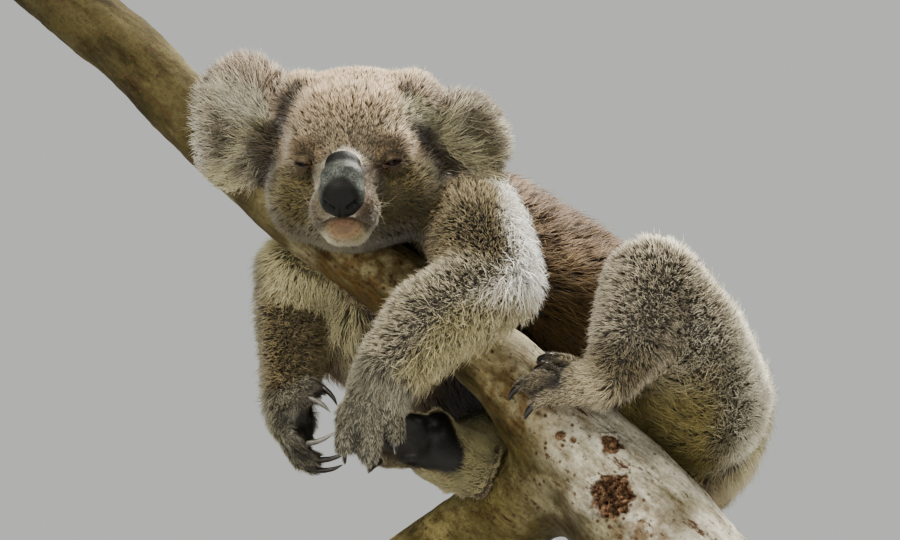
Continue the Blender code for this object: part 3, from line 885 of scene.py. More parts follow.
def paint_face(field):
    """Crown, brows, eye sockets and cheeks."""
    local, head = field["local"], brush(field, "head")
    x, y, z = local.T
    side = np.abs(x)
    face, muzzle = face_share(local)
    head(face, width=0.78, spacing=0.82, clump=3.0, pull=0.3, reach=1.1, pepper=0.18, stray=0.25)
    head(muzzle, width=0.62, spacing=0.66, clump=3.0, pull=0.4, reach=1.5, stray=0.3)
    low = rise(z, -0.014, -0.032)
    head(low, (136, 124, 82), (58, 49, 29))
    head(low * rise(x, 0.010, 0.040), (118, 105, 66), (48, 40, 23))
    head(rise(y, 0.0, 0.05) * rise(z, -0.045, -0.015), (186, 168, 136), (94, 76, 56))
    brow = band(z, 0.004, 0.011) * rise(y, -0.020, -0.045) * rise(side, 0.062, 0.040)
    head(brow * 0.6, (206, 193, 168), (86, 72, 54))
    middle_brow = band(z, -0.004, 0.010) * rise(side, 0.032, 0.018) * rise(y, -0.030, -0.045)
    head(middle_brow * 0.8, (192, 180, 154), (74, 63, 48), pepper=0.36)
    shadow = band(z, -0.0100, 0.0050) * rise(side, 0.012, 0.018) * rise(side, 0.048, 0.036)
    head(shadow * rise(y, -0.036, -0.048) * 0.55, (108, 91, 66), (44, 34, 24), pepper=0.4)
    under = band(z, -0.038, 0.009) * rise(side, 0.020, 0.026) * rise(side, 0.050, 0.038)
    head(under * 0.3, (158, 144, 104), (74, 61, 38))
    for sign in SIGNS.values():
        socket = near(local, (sign * 0.0325, -0.060, -0.0215), 0.0130, 0.5)
        head(socket * 0.6, (126, 109, 78), (54, 43, 30), width=0.5, spacing=0.60, pull=0.1)
        jowl = near(local, (sign * 0.046, -0.022, -0.075), 0.022, 0.6)
        head(jowl * 0.8, (116, 102, 58), (54, 45, 26))
        # Painted shade in the hollow at each corner of the mouth.
        corner = near(local, (sign * 0.028, -0.080, -0.069), 0.007, 0.6)
        head(corner * 0.6, (96, 82, 54), (44, 35, 23))


def paint_muzzle(field):
    """The pale rim round the nose, the whisker pads, the chin, the mouth and the lower lip."""
    local, head = field["local"], brush(field, "head")
    here = on(field["labels"], "head")
    x, y, z = local.T
    side = np.abs(x)
    ring = nose_distance(local)
    outer = mix(1.07, 1.27, rise(-x, -0.003, 0.010) * rise(z, -0.018, -0.032))
    round_nose = rise(y, -0.046, -0.056) * rise(z, -0.070, -0.062)
    head(rise(ring - outer, 0.30, 0.0) * round_nose * 0.8, (132, 120, 84), (64, 53, 34))
    rim = rise(ring - outer, 0.07, -0.05) * round_nose
    head(rim, (250, 238, 226), (190, 172, 150), pepper=0.04, width=0.5, spacing=0.52, reach=0.8)
    head(rim * rise(-x, 0.002, 0.014), (222, 222, 208), (158, 156, 138))
    head(rim * rise(x, 0.008, 0.017), (188, 176, 154), (124, 112, 92))
    left, right = (near(local, (sign * 0.0225, -0.086, -0.054), 0.008, 0.6) for sign in SIGNS.values())
    head((right + 0.4 * left) * 0.6, (186, 178, 144), (96, 86, 60))
    chin = rise(np.hypot(x / 0.0225, (z - CHIN_HEIGHT) / 0.0120), 1.15, 0.80) * rise(y, -0.060, -0.070)
    head(chin, (214, 204, 168), (136, 124, 92), pepper=0.06, width=0.75, clump=4.0, pull=0.5, reach=1.2)
    head(chin * rise(-x, 0.004, 0.014), (250, 244, 214), (172, 162, 126))
    # Painted shade in the hollow at each corner of the mouth.
    corner = near(np.stack([side, y, z], 1), (0.0240, -0.086, -0.0715), 0.0050, 0.5)
    head(corner, (52, 39, 28), (26, 20, 15))

    # The dark line along the mouth is painted shade in its crease, on bare skin.
    groove = band(z, mouth_height(x), 1.1 * MM) * rise(side, *MOUTH_ENDS) * rise(y, *FRONT_OF_FACE)
    lip = rise(np.hypot(x / 0.0165, (z - LIP_HEIGHT) / 0.0098), 1.20, 0.20) * rise(y, -0.075, -0.080)
    lip = lip * rise(z - mouth_height(x), 0.0, -1.0 * MM)
    upper_lip = lip * rise(z, -0.0735, -0.0680) * rise(side, 0.013, 0.007)
    head(rise(lip, 0.0, 0.7), (164, 138, 104), (124, 100, 72))
    head(rise(lip, 0.55, 0.95), (104, 84, 61), (95, 75, 54))
    head(upper_lip, (108, 74, 56), (99, 66, 50))
    head(groove, (36, 22, 18), (32, 19, 16))
    under_nose = rise(ring, 0.97, 0.90) * rise(y, -0.080, -0.086)
    for bare in (rise(lip, 0.60, 0.95), groove * 0.8, under_nose):
        lay_bare(field, bare * here)

    cheeks = (1 - rise(ring, 1.25, 1.05)) * (1 - lip) * face_share(local)[1] * here
    field["height"] = mix(field["height"], np.maximum(field["height"], 4.4 * MM), cheeks)
    head(rim, height=2.6)
    head(rise(lip, 0.0, 0.5), height=1.0)


def paint_lids(field):
    head, here = brush(field, "head"), on(field["labels"], "head")
    for side, (half, _, _) in SLITS.items():
        gap, angle = slit_distance(field["points"], side)
        lids = rise(angle, 1.15, 0.8)
        # Each lid's dark margin is its own bare rim, and is also painted shade from the upper lid over the
        # eye.
        margin = rise(gap, 0.20, 0.10) * lids
        tint = (124, 108, 70) if side == "right" else (104, 84, 60)
        head(lids * 0.8, tint, (66, 52, 38))
        head(margin, (40, 26, 20), (30, 20, 16))
        lay_bare(field, margin * here)
        head(rise(angle, 1.2, 0.7), height=1.5)
        centre, gaze, outer, _ = eye_axes(side)
        inner = centre + (gaze * math.cos(half) - outer * math.sin(half)) * LID_RADIUS
        head(near(field["points"], inner, 2.0 * MM, 0.5) * 0.7, (84, 52, 40), (76, 46, 36))


def paint_head(field):
    paint_face(field)
    paint_muzzle(field)
    crown = near(field["local"], (0, 0.0, 0.056), 0.034, 0.8)
    field["height"] *= 1 - 0.4 * on(field["labels"], "head") * crown
    paint_lids(field)


def line_distance(points, line):
    """The distance of each point from a line of straight stretches."""
    line = np.array(line)
    return np.min([stretch_distance(points, start, end) for start, end in zip(line, line[1:])], axis=0)


def paint_ears(field):
    local, labels = field["local"], field["labels"]
    rear = rise(field["normals"][:, 1], 0.1, 0.6)
    wavy = 1 + 0.25 * bumps(field["points"], 0.007, 10.0, 2)
    roots = on(labels, "head") * rise(local[:, 1], -0.046, -0.034)
    for side, sign in SIGNS.items():
        shape = in_head(points_of(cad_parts[f"ear_{side}"].data))
        centre, half = (shape.max(axis=0) + shape.min(axis=0)) / 2, np.ptp(shape, axis=0) / 2
        out = (local[:, 0] - centre[0]) * sign / half[0]
        up = (local[:, 2] - centre[2]) / half[2]
        ear = brush(field, f"ear_{side}")
        ear(rise(up, 0.25, 0.70), (170, 158, 142), (62, 52, 44), pepper=0.38)
        ear(rise(out, 0.45, 0.85), (238, 234, 222), (116, 107, 92), pepper=0.16)
        ear(rear, (150, 132, 106), (76, 62, 46))
        here = np.maximum(on(labels, f"ear_{side}"), roots) * (1 - rear) * (local[:, 0] * sign > 0)
        flat = np.stack([local[:, 0] * sign, local[:, 2]], axis=1)
        for line, reach, light, dark, pepper in EAR_MARKS[side]:
            mark = rise(line_distance(flat, line) * wavy, reach * 1.5, reach * 0.6)
            paint(field, here * mark * 0.92, light, dark, pepper=pepper)


def paint_trunk(field):
    """Painted shade on top, against the strong top light, painted light behind, and painted shade below and
    under the limb, with a cream chest, whose share at each point is returned.
    """
    x, _, z = field["points"].T
    _, rear, up = field["normals"].T
    trunk = brush(field, "trunk", "neck")
    # The belly's warm dark brown is painted shade on the underside and the low front.
    belly_shade = np.maximum(rise(-up, 0.10, 0.75), rise(-rear, 0.30, 0.85) * rise(z, 0.425, 0.375))
    # The top is painted darker: painted shade against the strong top light.
    trunk(rise(up, 0.30, 0.80) * 0.9, (132, 104, 76), (34, 25, 17), pepper=0.5)
    # The back is painted lighter: painted light where the lamps in front leave it in shade.
    trunk(rise(rear, 0.0, 0.5), (192, 174, 148), (82, 68, 53), pepper=0.36)
    trunk(belly_shade, (128, 104, 66), (74, 58, 34), pepper=0.05, width=1.1, pull=0.15, reach=1.5, stray=0.15)
    # A dark patch of painted shade on the belly, where it lies below and behind the limb.
    low = rise(np.hypot((x + 0.030) / 0.040, (z - 0.315) / 0.045), 1.3, 0.6)
    trunk(low, (44, 34, 22), (24, 18, 12))
    # The cream chest shows between the limb's underside and the far arm.
    off_limb = (x + 0.1396) * -0.625 + (z - 0.3920) * -0.781
    chest = rise(off_limb, 0.046, 0.026) * rise(x, -0.206, -0.190) * rise(x, -0.110, -0.128)
    chest = chest * rise(rear, 0.5, 0.0) * on(field["labels"], "trunk", "neck", "upper_arm_right")
    cream = (236, 228, 190), (158, 146, 104)
    paint(field, chest, *cream, pepper=0.0, reach=1.3, pull=0.3, stray=0.2, width=1.1)
    rump = rise(x, 0.120, 0.190) * rise(z, 0.36, 0.28)
    trunk(rump, (206, 198, 160), (122, 110, 80))
    return chest


def paint_arms(field, chest):
    """The near arm's white underside, with its fringe, and the far arm."""
    normals, z = field["normals"], field["points"][:, 2]
    under = rise(normals @ unit((0.88, -0.20, -0.42)), 0.16, 0.50)
    under = under * on(field["labels"], "upper_arm_left", "forearm_left")
    lower = rise(z, 0.385, 0.350)
    white = (255, 254, 250), (242, 236, 224)
    paint(field, under * (1 - lower), *white, pepper=0.0, width=1.2, pull=0.6, reach=1.2)
    paint(field, under * lower * 0.9, (208, 198, 158), (112, 101, 68), pepper=0.12, reach=0.8)
    field["fringe"] = under * (1 - 0.7 * lower)
    far_arm = brush(field, "upper_arm_right", "forearm_right")
    far_arm(1 - chest, (168, 154, 118), (80, 68, 48), pepper=0.2)
    far_arm(rise(-normals[:, 0], 0.60, 0.90) * 0.6, (166, 162, 146), (84, 78, 66))


def paint_legs(field):
    """The far leg, with painted shade on its front, and the near leg with its pale knee and its pale back
    edge, partly painted rim light.
    """
    x, y, z = field["points"].T
    out, rear, _ = field["normals"].T
    far_leg = brush(field, "thigh_right", "shin_right")
    heel = on(field["labels"], "shin_right") * rise(y, 0.030, 0.010)
    # The far leg's front is painted dark: painted shade where it lies behind the limb and the body.
    far_leg((1 - heel) * rise(-rear, -0.25, 0.20), (68, 57, 37), (27, 21, 14))
    far_leg(rise(rear, -0.05, 0.40), (180, 164, 138), (74, 62, 48), pepper=0.36)

    knee, haunch = rise(z, 0.315, 0.350), rise(z, 0.350, 0.285)
    brush(field, "shin_left")(knee, (218, 208, 186), (74, 66, 54))
    thigh = brush(field, "thigh_left")
    olive = (160, 148, 100), (122, 109, 70)
    thigh(haunch, *olive, pepper=0.0, clump=8.0, reach=1.3, stray=0.22, pull=0.15)
    near_leg = brush(field, "thigh_left", "shin_left")
    near_leg(rise(out, 0.35, 0.80) * 0.8, (206, 195, 170), (82, 73, 59), pepper=0.36)
    # The pale outer and back edge of the thigh is partly the rump's own whitish fur and partly painted rim
    # light.
    outer = rise(x, 0.150, 0.184)
    thigh(outer * 0.8, (204, 196, 174), (108, 98, 80), pepper=0.2)
    back_edge = outer * rise(-rear, -0.55, -0.15)
    thigh(back_edge * 0.95, (246, 242, 226), (168, 160, 136), reach=0.8, pepper=0.05)


def paint_paws(field):
    """Bare palm and sole, painted shade in the grooves between the digits, and the digits' tips."""
    points, normals, labels = field["points"], field["normals"], field["labels"]
    x, _, z = points.T
    _, rear, up = normals.T
    far_foot = on(labels, "foot_right", "shin_right")
    palm = on(labels, "hand_right") * rise(normals @ unit((0.80, -0.55, 0.0)), 0.35, 0.55)
    edges = (  # of the bare sole: its heel's slant, its heel, its underside and its top
        (x + 0.0374) * 0.886 + (z - 0.260) * 0.463,
        x + 0.0374,
        -(z - 0.240) - 0.215 * (x + 0.0445),
        z - 0.2900,
    )
    sole = rise(np.max(edges, axis=0), 1.0 * MM, -1.0 * MM) * rise(-rear, -0.1, 0.2) * far_foot
    grip = on(labels, "foot_left", "hand_left") * rise(-up + rear, 0.55, 0.9)
    pads = np.maximum(np.maximum(palm, sole), grip)
    rim = far_foot * (1 - sole) * rise(-rear, -0.3, 0.1)
    rim = rim * rise(x, -0.115, -0.085) * rise(x, 0.034, 0.014)
    paint(field, rim, (206, 198, 156), (138, 126, 88), pepper=0.0, reach=1.6)
    paint(field, pads, (15, 14, 11), (13, 12, 9))
    lay_bare(field, pads)

    groove = between_digits(points, labels)
    # The grooves between the digits are painted dark: painted shade between them.
    paint(field, groove, (26, 22, 16), (18, 15, 11), reach=1.0)
    paint(field, groove * 0.95, height=1.1)
    tips = np.zeros(len(points))
    for paw in PAWS:
        for _, end in digit_lines(paw):
            tips = np.maximum(tips, near(points, end, 0.0075, 0.35) * on(labels, paw))
    paint(field, tips * 0.6, (96, 84, 66), (42, 36, 29))


def coat_field(skin, outside):
    """What the coat is like at each point of the skin."""
    mesh = skin.data
    points, normals, edges = points_of(mesh), normals_of(mesh), edges_of(mesh)
    labels = node_labels(points)
    field = dict(points=points, normals=normals, labels=labels, local=in_head(points), outside=outside)
    for trait in TRAITS[1:]:  # the depth is in the skin already
        field[trait] = relax(in_units(trait, per_node(labels, trait)), edges, 0.5, 8)
    to_surface = np.array([outside.find_nearest(Vector(p))[3] for p in points])
    field["height"] = relax(np.clip(to_surface, 1.2 * MM, 16 * MM), edges, 0.5, 3)
    field["bare"], field["fringe"] = np.zeros(len(points)), np.zeros(len(points))
    paint_head(field)
    paint_ears(field)
    chest = paint_trunk(field)
    paint_arms(field, chest)
    paint_legs(field)
    paint_paws(field)
    field["lie"] = lie_of_coat(points, normals, edges, labels)
    tone = 1 + 0.13 * bumps(points, 0.022, 11.0) + 0.07 * bumps(points, 0.007, 4.0)
    for key in ("light", "dark"):
        field[key] = np.clip(relax(field[key], edges, 0.5, 1) * tone[:, None], 0, 0.95)
    set_colour(mesh, mix(field["dark"], field["light"], mix(0.15, 0.5, field["bare"])))
    return field


# ---- locks of hair ----


def lock_template(rings):
    """The faces of a closed three-sided lock with this many rings below its tip, and where each corner lies
    in the lock's patch of the map."""
    faces, patch = [(0, 2, 1)], [((0, 0), (0, 1), (-0.1, 0.5))]
    last = rings - 1
    for side in range(3):
        after, low, high = (side + 1) % 3, side / 3, (side + 1) / 3
        for ring in range(last):
            a, b, t, u = ring * 3, ring * 3 + 3, ring / rings, (ring + 1) / rings
            faces += [(a + side, a + after, b + after), (a + side, b + after, b + side)]
            patch += [((t, low), (t, high), (u, high)), ((t, low), (u, high), (u, low))]
        faces.append((last * 3 + side, last * 3 + after, rings * 3))
        patch.append(((last / rings, low), (last / rings, high), (1, (low + high) / 2)))
    return np.array(faces), np.array(patch) * PATCH


def sample(mesh, density):
    """(corner vertices, corner loops, weights) of roots spread over the mesh, so many to the square metre."""
    mesh.calc_loop_triangles()
    corners, loops = (read(mesh.loop_triangles, name, 3, np.int32) for name in ("vertices", "loops"))
    places = points_of(mesh)[corners]
    area = np.linalg.norm(np.cross(places[:, 1] - places[:, 0], places[:, 2] - places[:, 0]), axis=1) / 2
    heap = np.cumsum(area * density[corners].mean(axis=1))
    total = int(heap[-1])
    picks = np.minimum(np.searchsorted(heap, np.arange(total) + rng.random(total)), len(corners) - 1)
    a, b = rng.random(total), rng.random(total)
    over = a + b > 1
    a[over], b[over] = 1 - a[over], 1 - b[over]
    return corners[picks], loops[picks], np.stack([1 - a - b, a, b], axis=1)


def clump_of(roots, size, spacing):
    """For each root, the index of the root at the middle of its clump."""
    share = np.clip((spacing / size) ** 2, 0, 1)
    centres = np.flatnonzero(rng.random(len(roots)) < share)
    tree = kdtree.KDTree(len(centres))
    for index, centre in enumerate(centres):
        tree.insert(roots[centre], index)
    tree.balance()
    return centres[np.array([tree.find(root)[1] for root in roots])]


def lock_points(root, normal, lie, height, reach, width, lean, rings):
    """The points of the locks: (locks, points of one lock, 3)."""
    side = unit(np.cross(lie, normal))
    places = np.empty((len(root), rings * 3 + 1, 3))
    root = root - normal * (0.4 * MM)
    for ring in range(rings + 1):
        t = ring / rings
        centre = root + normal * (height * (1 - (1 - t) ** 1.6))[:, None] + lie * (reach * t**1.4)[:, None]
        centre = centre + lean * t**1.5
        if ring == rings:
            places[:, ring * 3] = centre
            break
        along = unit(normal * (height * (1 - t) ** 0.6)[:, None] + lie * (reach * (t + 0.3))[:, None])
        lift = np.cross(side, along)
        radius = width / 2 * (1 - t) ** 0.5
        for corner in range(3):
            angle = corner * 2 * math.pi / 3
            offset = side * math.cos(angle) + lift * 0.7 * math.sin(angle)
            places[:, ring * 3 + corner] = centre + offset * radius[:, None]
    return places


def shortened(outside, root, tip, proud):
    """The share of each lock's length that keeps its tip no farther than this from the solids' surface."""
    share = np.ones(len(root))
    for index, (low, high) in enumerate(zip(root, tip)):
        place, normal, _, _ = outside.find_nearest(Vector(high))
        over = (Vector(high) - place).dot(normal) - proud
        if over > 0:
            rise_out = (Vector(high) - Vector(low)).dot(normal)
            share[index] = max(1 - over / max(rise_out, 1e-6), 0.35)
    return share


def lock_colours(light, dark, pepper, clump, rings):
    """The colours of the locks' points, from dark roots to tips that differ from lock to lock."""
    count = len(clump)
    shade = 0.5 * rng.random(count) + 0.5 * rng.random(count)[clump]
    peppered = rng.random(count) < pepper
    tip = light * (0.80 + 0.36 * shade)[:, None]
    tip = np.where(peppered[:, None], mix(dark, light, 0.15 + 0.35 * shade), tip)
    t = np.repeat(np.arange(rings + 1) / rings, [3] * rings + [1])[None, :, None]
    return dark[:, None] * (1 - t) * 0.85 + tip[:, None] * t


def add_locks(name, places, colours, corner, rings, finish):
    """Joins the locks into pieces under the most triangles. corner is where each one's patch of the map
    starts."""
    faces, patch = lock_template(rings)
    count, most = len(places), MOST_TRIANGLES // len(faces)
    slot = "coat_brown" if name.startswith("coat_trunk") else "coat_grey"
    for number, start in enumerate(range(0, count, most), start=1):
        part = slice(start, start + most)
        shape = places[part]
        triangles = faces[None] + np.arange(len(shape))[:, None, None] * shape.shape[1]
        piece = name if count <= most else f"{name}_{number}"
        made = mesh_of(piece, shape.reshape(-1, 3), triangles.reshape(-1, 3))
        set_colour(made, colours[part].reshape(-1, 3))
        write(made.uv_layers.new(name="OFBake").data, "uv", corner[part][:, None, None] + patch[None])
        add_piece(new_object(piece, made), slot=slot, finishes=[finish])


def grow(
    name, skin, field, weight, rings, finish, proud=3 * MM, spacing=1.0, height=1.0, reach=1.0, width=1.0
):
    """Plants locks where weight says. The last four are shares of what the field gives."""
    mesh = skin.data
    density = weight * (1 - rise(field["bare"], 0.3, 0.6)) / (field["spacing"] * spacing) ** 2
    corners, loops, weights = sample(mesh, density)
    count = len(corners)

    def at(key):
        """The field's values at the roots."""
        picked = field[key][corners]
        return (picked * weights.reshape(weights.shape + (1,) * (picked.ndim - 2))).sum(axis=1)

    def strays():
        return np.clip(rng.normal(0, 1.0, (count, 3)), -1.6, 1.6)

    root, normal = at("points"), unit(at("normals"))
    clump = clump_of(root, at("clump"), at("spacing") * spacing)
    own = strays() + strays()[clump]
    lie = unit(along_surface(unit(at("lie") + own * at("stray")[:, None]), normal))
    tall = at("height") * height * rng.uniform(0.82, 1.12, count) * rng.uniform(0.92, 1.10, count)[clump]
    long = tall * at("reach") * reach * rng.uniform(0.7, 1.3, count)
    broad = at("width") * width * rng.uniform(0.8, 1.2, count)
    lean = along_surface((root[clump] - root) * at("pull")[:, None], normal)
    tip = root + normal * tall[:, None] + lie * long[:, None] + lean
    share = shortened(field["outside"], root, tip, proud)
    places = lock_points(root, normal, lie, tall * share, long * share, broad, lean * share[:, None], rings)
    colours = lock_colours(at("light"), at("dark"), at("pepper"), clump, rings)
    corner = (read(mesh.uv_layers["OFBake"].data, "uv", 2)[loops] * weights[..., None]).sum(axis=1)
    add_locks(name, places, colours, corner, rings, finish)


def grow_whiskers(skin, field, finish):
    """Long, thin, pale hairs on the whisker pads and the brows."""
    count = len(field["points"])
    pads = np.zeros(count)
    for sign in SIGNS.values():
        pads = np.maximum(pads, near(field["local"], (sign * 0.0240, -0.082, -0.055), 0.008, 0.2))
        pads = np.maximum(pads, 0.4 * near(field["local"], (sign * 0.030, -0.060, -0.004), 0.006, 0.2))
    pads = pads * on(field["labels"], "head")
    long = dict(field, height=np.full(count, 6 * MM), reach=np.full(count, 4.6), pull=np.zeros(count))
    long["light"] = long["dark"] = np.tile(linear(202, 192, 164), (count, 1))
    grow("coat_whiskers", skin, long, pads, 3, finish, spacing=7.5, width=0.36, proud=30 * MM)


def grow_coat(skin, field):
    finish = coat_material()
    labels = field["labels"]
    for name, (members, rings) in COAT.items():
        grow(name, skin, field, on(labels, *members), rings, finish)
    ears = on(labels, "ear_left", "ear_right")
    face = face_share(field["local"])[0] * on(labels, "head")
    body = (1 - ears) * (1 - np.minimum(face * 1.5, 1))
    body = body * (1 - on(labels, *PAWS, "thigh_right", "shin_right"))
    for name, weight, rings, proud, factors in (
        ("coat_ear_wisps", ears, 3, 6 * MM, dict(spacing=1.7, height=1.3, reach=1.6, width=0.75)),
        ("coat_fringe", field["fringe"], 3, 7 * MM, dict(spacing=2.6, height=1.5, reach=1.5, width=0.9)),
        ("coat_guard", body, 2, 6 * MM, dict(spacing=4.2, height=1.35, reach=1.25, width=0.62)),
    ):
        grow(name, skin, field, weight, rings, finish, proud, **factors)
    grow_whiskers(skin, field, finish)


# ---- nose, eyes and claws ----


def nose_piece():
    """The bare nose, with a nostril on each side under a smooth bulb."""
    obj = fused("nose_skin", ("nose",), NOSE_VOXEL, 0.1 * MM)
    mesh = obj.data
    local = in_head(relax(points_of(mesh), edges_of(mesh), 0.5, 30))
    local[:, 0] *= 1.05 + 0.04 * rise(local[:, 2], -0.046, -0.028)
    local[:, 2] -= 2.4 * MM * rise(local[:, 2], -0.046, -0.062)  # the bulb hangs down to the lip
    points = from_head(local)
    set_points(mesh, points)
    x, y, z = (local - NOSE_TIP).T
    side, front = np.abs(x), rise(y, 0.016, 0.008)
    out = np.zeros(len(points))
    # Three hollows make each nostril, and a swell stands over it. Sizes and heights are in millimetres.
    for across, high, size, height in (
        (0.0060, -0.0120, 1.5, -2.6),
        (0.0090, -0.0105, 1.9, -2.6),
        (0.0120, -0.0075, 1.7, -2.6),
        (0.0105, -0.0035, 3.2, 0.7),
    ):
        out += np.exp(-((side - across) ** 2 + (z - high) ** 2) / (size * MM) ** 2) * front * height
    out -= band(x, 0, 1.1 * MM) * rise(z, -0.004, -0.010) * front * 0.8
    set_points(mesh, points + normals_of(mesh) * (out * MM)[:, None])
    height = (z - z.min()) / (z.max() - z.min())
    edge = side / side.max()
    bulb = np.hypot(edge / 0.84, (height - 0.20) / 0.40)
    # The top of the nose is kept black: painted shade under the fur that overhangs it.
    arc = rise(height + 0.14 * edge**2, 0.90, 0.80)
    pale = rise(bulb, 0.88, 1.12) * arc * rise(height, 0.08, 0.30)
    pale = pale * (0.8 + 0.4 * bumps(points, 0.006, 2.0))
    set_number(mesh, np.clip(pale, 0, 1), "nose")
    add_piece(obj, "nose", slot="nose_leather", finishes=[nose_material()])
    return obj


def eye_pieces():
    finish = eye_material()
    for side in SLITS:
        centre, gaze, outer, upper = eye_axes(side)
        bm = bmesh.new()
        bmesh.ops.create_uvsphere(bm, u_segments=48, v_segments=32, radius=EYE_RADIUS)
        mesh = mesh_from(f"eyeball_{side}", bm)
        way = unit(points_of(mesh))
        pupil = np.hypot(way @ outer / 0.16, way @ upper / 0.34)
        iris = rise(pupil, 0.9, 1.15) * rise(np.arccos(np.clip(way @ gaze, -1, 1)), 0.80, 0.65)
        set_number(mesh, iris * (way @ gaze > 0), "iris")
        set_points(mesh, points_of(mesh) + centre)
        add_piece(new_object(f"eyeball_{side}", mesh), f"eye_{side}", slot="eye", finishes=[finish])


def claw_pieces():
    finish = claw_material()
    # pale: dark horn that turns mid grey towards the tip, as painted reflection of the sky.
    pale, dark = ((34, 32, 30), (116, 112, 106)), ((18, 16, 15), (50, 45, 41))
    for node in nodes_named("claw_"):
        name = node.removeprefix("claw_")
        obj = new_object(f"horn_{name}", joined(node, [node]))
        smooth = obj.modifiers.new("smooth", "SUBSURF")
        smooth.levels = smooth.render_levels = 2
        applied(obj)
        points = points_of(obj.data)
        if name.startswith("foot"):
            set_points(obj.data, points + normals_of(obj.data) * (0.8 * MM))
        along = unit(middle(node) - middle(name[:-2])) @ (points - points.mean(axis=0)).T
        along = (along - along.min()) / np.ptp(along)
        root, tip = pale if node in CLAWS_WITH_PAINTED_REFLECTION else dark
        set_colour(obj.data, mix(linear(*root), linear(*tip), along), "horn")
        add_piece(obj, node, slot="claw_horn", finishes=[finish])


# ---- perch and stand ----


def flat_ends(node):
    """(point, outward normal) of the node's largest flat faces."""
    groups = {}
    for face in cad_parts[node].data.polygons:
        key = tuple(round(n, 2) for n in face.normal)
        entry = groups.setdefault(key, [0.0, face.center.copy(), face.normal.copy()])
        entry[0] += face.area
    ordered = sorted(groups.values(), key=lambda entry: -entry[0])
    return [(point, normal) for _, point, normal in ordered[:2]]


def saw_ends(mesh, ends):
    """Cuts the limb a little inside its ends, and draws each cut's rim back out to the end."""
    with editing(mesh) as bm:
        for point, normal in ends:
            whole = bm.verts[:] + bm.edges[:] + bm.faces[:]
            plane = dict(plane_co=point - normal * SAW_INSET, plane_no=normal)
            cut = bmesh.ops.bisect_plane(bm, geom=whole, clear_outer=True, **plane)
            rim = [g for g in cut["geom_cut"] if isinstance(g, bmesh.types.BMEdge)]
            grown = bmesh.ops.extrude_edge_only(bm, edges=rim)
            for vert in grown["geom"]:
                if isinstance(vert, bmesh.types.BMVert):
                    vert.co += normal * SAW_INSET


def smoothed_limb(mesh, ends):
    """The limb's points without its facets. They don't leave the planes of its ends."""
    points, edges = points_of(mesh), edges_of(mesh)
    for _ in range(5):
        moved = relax(points, edges, 0.5, 8) - points
        for point, normal in ends:
            n = np.array(normal)
            gap = (np.array(point) - points) @ n
            moved -= (moved @ n * rise(gap, 0.05, 0.0))[:, None] * n
        points = points + moved
    return points


def roughened(points, normals, ragged):
    """The points with ripples and knots, and the share of a knot's crust at each."""
    rough = bumps(points, 0.030, 3.0, 3) * 1.3 * MM + bumps(points, 0.009, 5.0, 2) * 0.4 * MM
    gnarl = 1 - np.abs(bumps(points, 0.005, 9.0, 3)) * 3.0
    crust = np.zeros(len(points))
    for centre, radius in KNOTS:
        distance = np.linalg.norm(points - np.array(centre), axis=1) / radius * (1 + 0.34 * ragged)
        knot = rise(distance, 1.05, 0.90)
        collar = band(distance, 1.20, 0.20) + 0.45 * band(distance, 1.75, 0.18)
        size = radius / KNOTS[0][1]
        rough += (knot * (gnarl * 2.6 - 1.2) + collar * (2.0 + ragged)) * size * MM
        crust = np.maximum(crust, knot)
    return points + normals * rough[:, None], crust


def bark_colours(points, normals, ragged):
    """Cream bark, chalky low down, with olive painted shade underneath, olive high up, partly its own and
    partly painted shade of leaves, warm stains, and an olive fork, partly painted shade.
    """
    x, _, z = points.T
    broad = bumps(points, 0.045, 8.0, 3)
    chalk = rise(x + 0.03 * broad, -0.02, 0.06)
    shade = rise(-normals[:, 2] - 0.25 * normals[:, 0] + 0.6 * broad, 0.00, 0.70)
    # Olive towards the upper end: partly the bark's own olive and partly painted shade of leaves.
    upper = rise(x + 0.07 * broad, -0.15, -0.27)
    warm = sum(near(points, *stain) for stain in STAINS)
    # The olive fork: partly the bark's own colour and partly painted shade.
    fork = rise(x, 0.030, -0.010) * rise(z, 0.285, 0.255)
    colour = linear(160, 150, 116)
    for share, tint in (
        (chalk, (192, 187, 172)),
        (shade * 0.9, (78, 70, 40)),
        (rise(broad, 0.05, 0.40) * 0.6, (150, 143, 118)),
        (upper * 0.92, (74, 67, 40)),
        (np.clip(warm * (0.55 + 1.4 * ragged), 0, 0.75), (104, 78, 42)),
        (fork * 0.7, (112, 102, 58)),
    ):
        colour = mix(colour, linear(*tint), share)
    return colour


def cap_ends(mesh):
    """Closes the sawn ends with faces of the second material."""
    with editing(mesh) as bm:
        caps = bmesh.ops.holes_fill(bm, edges=[e for e in bm.edges if e.is_boundary], sides=0)["faces"]
        for face in caps:
            face.material_index = 1
        bmesh.ops.triangulate(bm, faces=caps)
        bmesh.ops.recalc_face_normals(bm, faces=bm.faces[:])


def limb_piece():
    """The limb, smoothed, roughened and sawn flat at its ends."""
    obj = fused("limb", ("perch_limb",), BARK_VOXEL, 0.0)
    mesh = obj.data
    ends = flat_ends("perch_limb")
    saw_ends(mesh, ends)
    refine(mesh, lambda centres: sum(near(centres, c, r * 2.0, 0.1) for c, r in KNOTS) > 0.5, 1)
    points = smoothed_limb(mesh, ends)
    set_points(mesh, points)
    normals, ragged = normals_of(mesh), bumps(points, 0.008, 12.0, 3)
    points, crust = roughened(points, normals, ragged)
    set_points(mesh, points)
    set_colour(mesh, bark_colours(points, normals, ragged), "bark")
    set_number(mesh, crust, "rust")
    cap_ends(mesh)
    add_piece(obj, "perch_limb", slot="bark", finishes=[bark_material(), sawn_material()])
    mesh.set_sharp_from_angle(angle=math.radians(50))


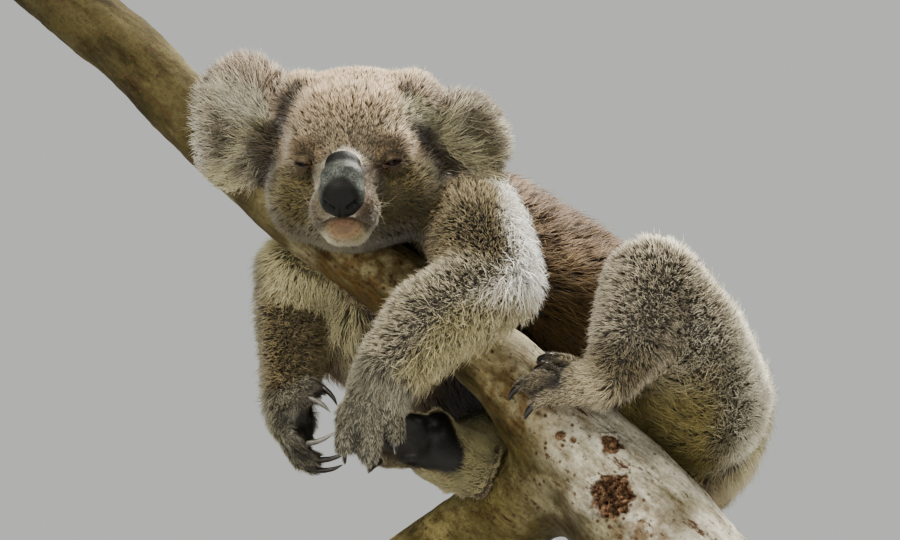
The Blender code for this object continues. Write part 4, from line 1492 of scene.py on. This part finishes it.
def stand_pieces():
    wood, steel = stand_wood_material(), steel_material()
    for name in nodes_named("stand_"):
        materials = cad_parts[name].data.materials
        materials.clear()
        materials.append(wood if name == "stand_base" else steel)


# ---- studio ----


def studio():
    bm = bmesh.new()
    bmesh.ops.create_circle(bm, cap_ends=True, segments=96, radius=8)
    mesh = mesh_from("floor", bm)
    floor = new_object("floor", mesh)
    made = Nodes("floor")
    made.colour(made.greys(made.noise(3, 3), 0.3, 0.7, 0.66, 0.70))
    mesh.materials.append(made.set(Roughness=0.9))

    world = bpy.data.worlds.new("studio")
    bpy.context.scene.world = world
    world.use_nodes = True
    background = world.node_tree.nodes["Background"].inputs
    background["Color"].default_value = (0.86, 0.88, 0.85, 1)
    background["Strength"].default_value = 0.55
    lit = Vector((-0.03, 0, 0.38))
    for name, place, size, power, tint in (
        ("key", (-0.9, -1.5, 2.2), 0.8, 62, (1.0, 0.96, 0.86)),
        ("top", (0.9, 0.5, 2.2), 0.8, 130, (1.0, 0.97, 0.90)),
        ("fill", (-0.5, -2.2, 0.3), 1.2, 9, (1.0, 0.98, 0.90)),
    ):
        data = bpy.data.lights.new(name, "AREA")
        data.size, data.energy, data.color = size, power, tint
        lamp = new_object(name, data)
        lamp.location = place
        lamp.rotation_euler = (lit - Vector(place)).to_track_quat("-Z", "Y").to_euler()


def camera():
    target, distance, tilt = Vector((-0.0507, -0.04, 0.40)), 2.4, math.radians(8)
    width = 0.702  # metres across the picture at the target
    look = Vector((0, math.cos(tilt), math.sin(tilt)))
    data = bpy.data.cameras.new("camera")
    data.sensor_width, data.lens, data.clip_start = 36, 36 * distance / width, 0.05
    made = new_object("camera", data)
    made.location = target - look * distance
    made.rotation_mode = "QUATERNION"
    made.rotation_quaternion = look.to_track_quat("-Z", "Y")
    bpy.context.scene.camera = made
    bpy.context.scene.view_settings.look = "AgX - Medium High Contrast"


# ---- all together ----

camera()
studio()
nose = nose_piece()
skin, outside = make_skin(nose)
grow_coat(skin, coat_field(skin, outside))
add_piece(skin, *FLESH, slot="coat_grey", finishes=[skin_material()])
eye_pieces()
claw_pieces()
limb_piece()
stand_pieces()
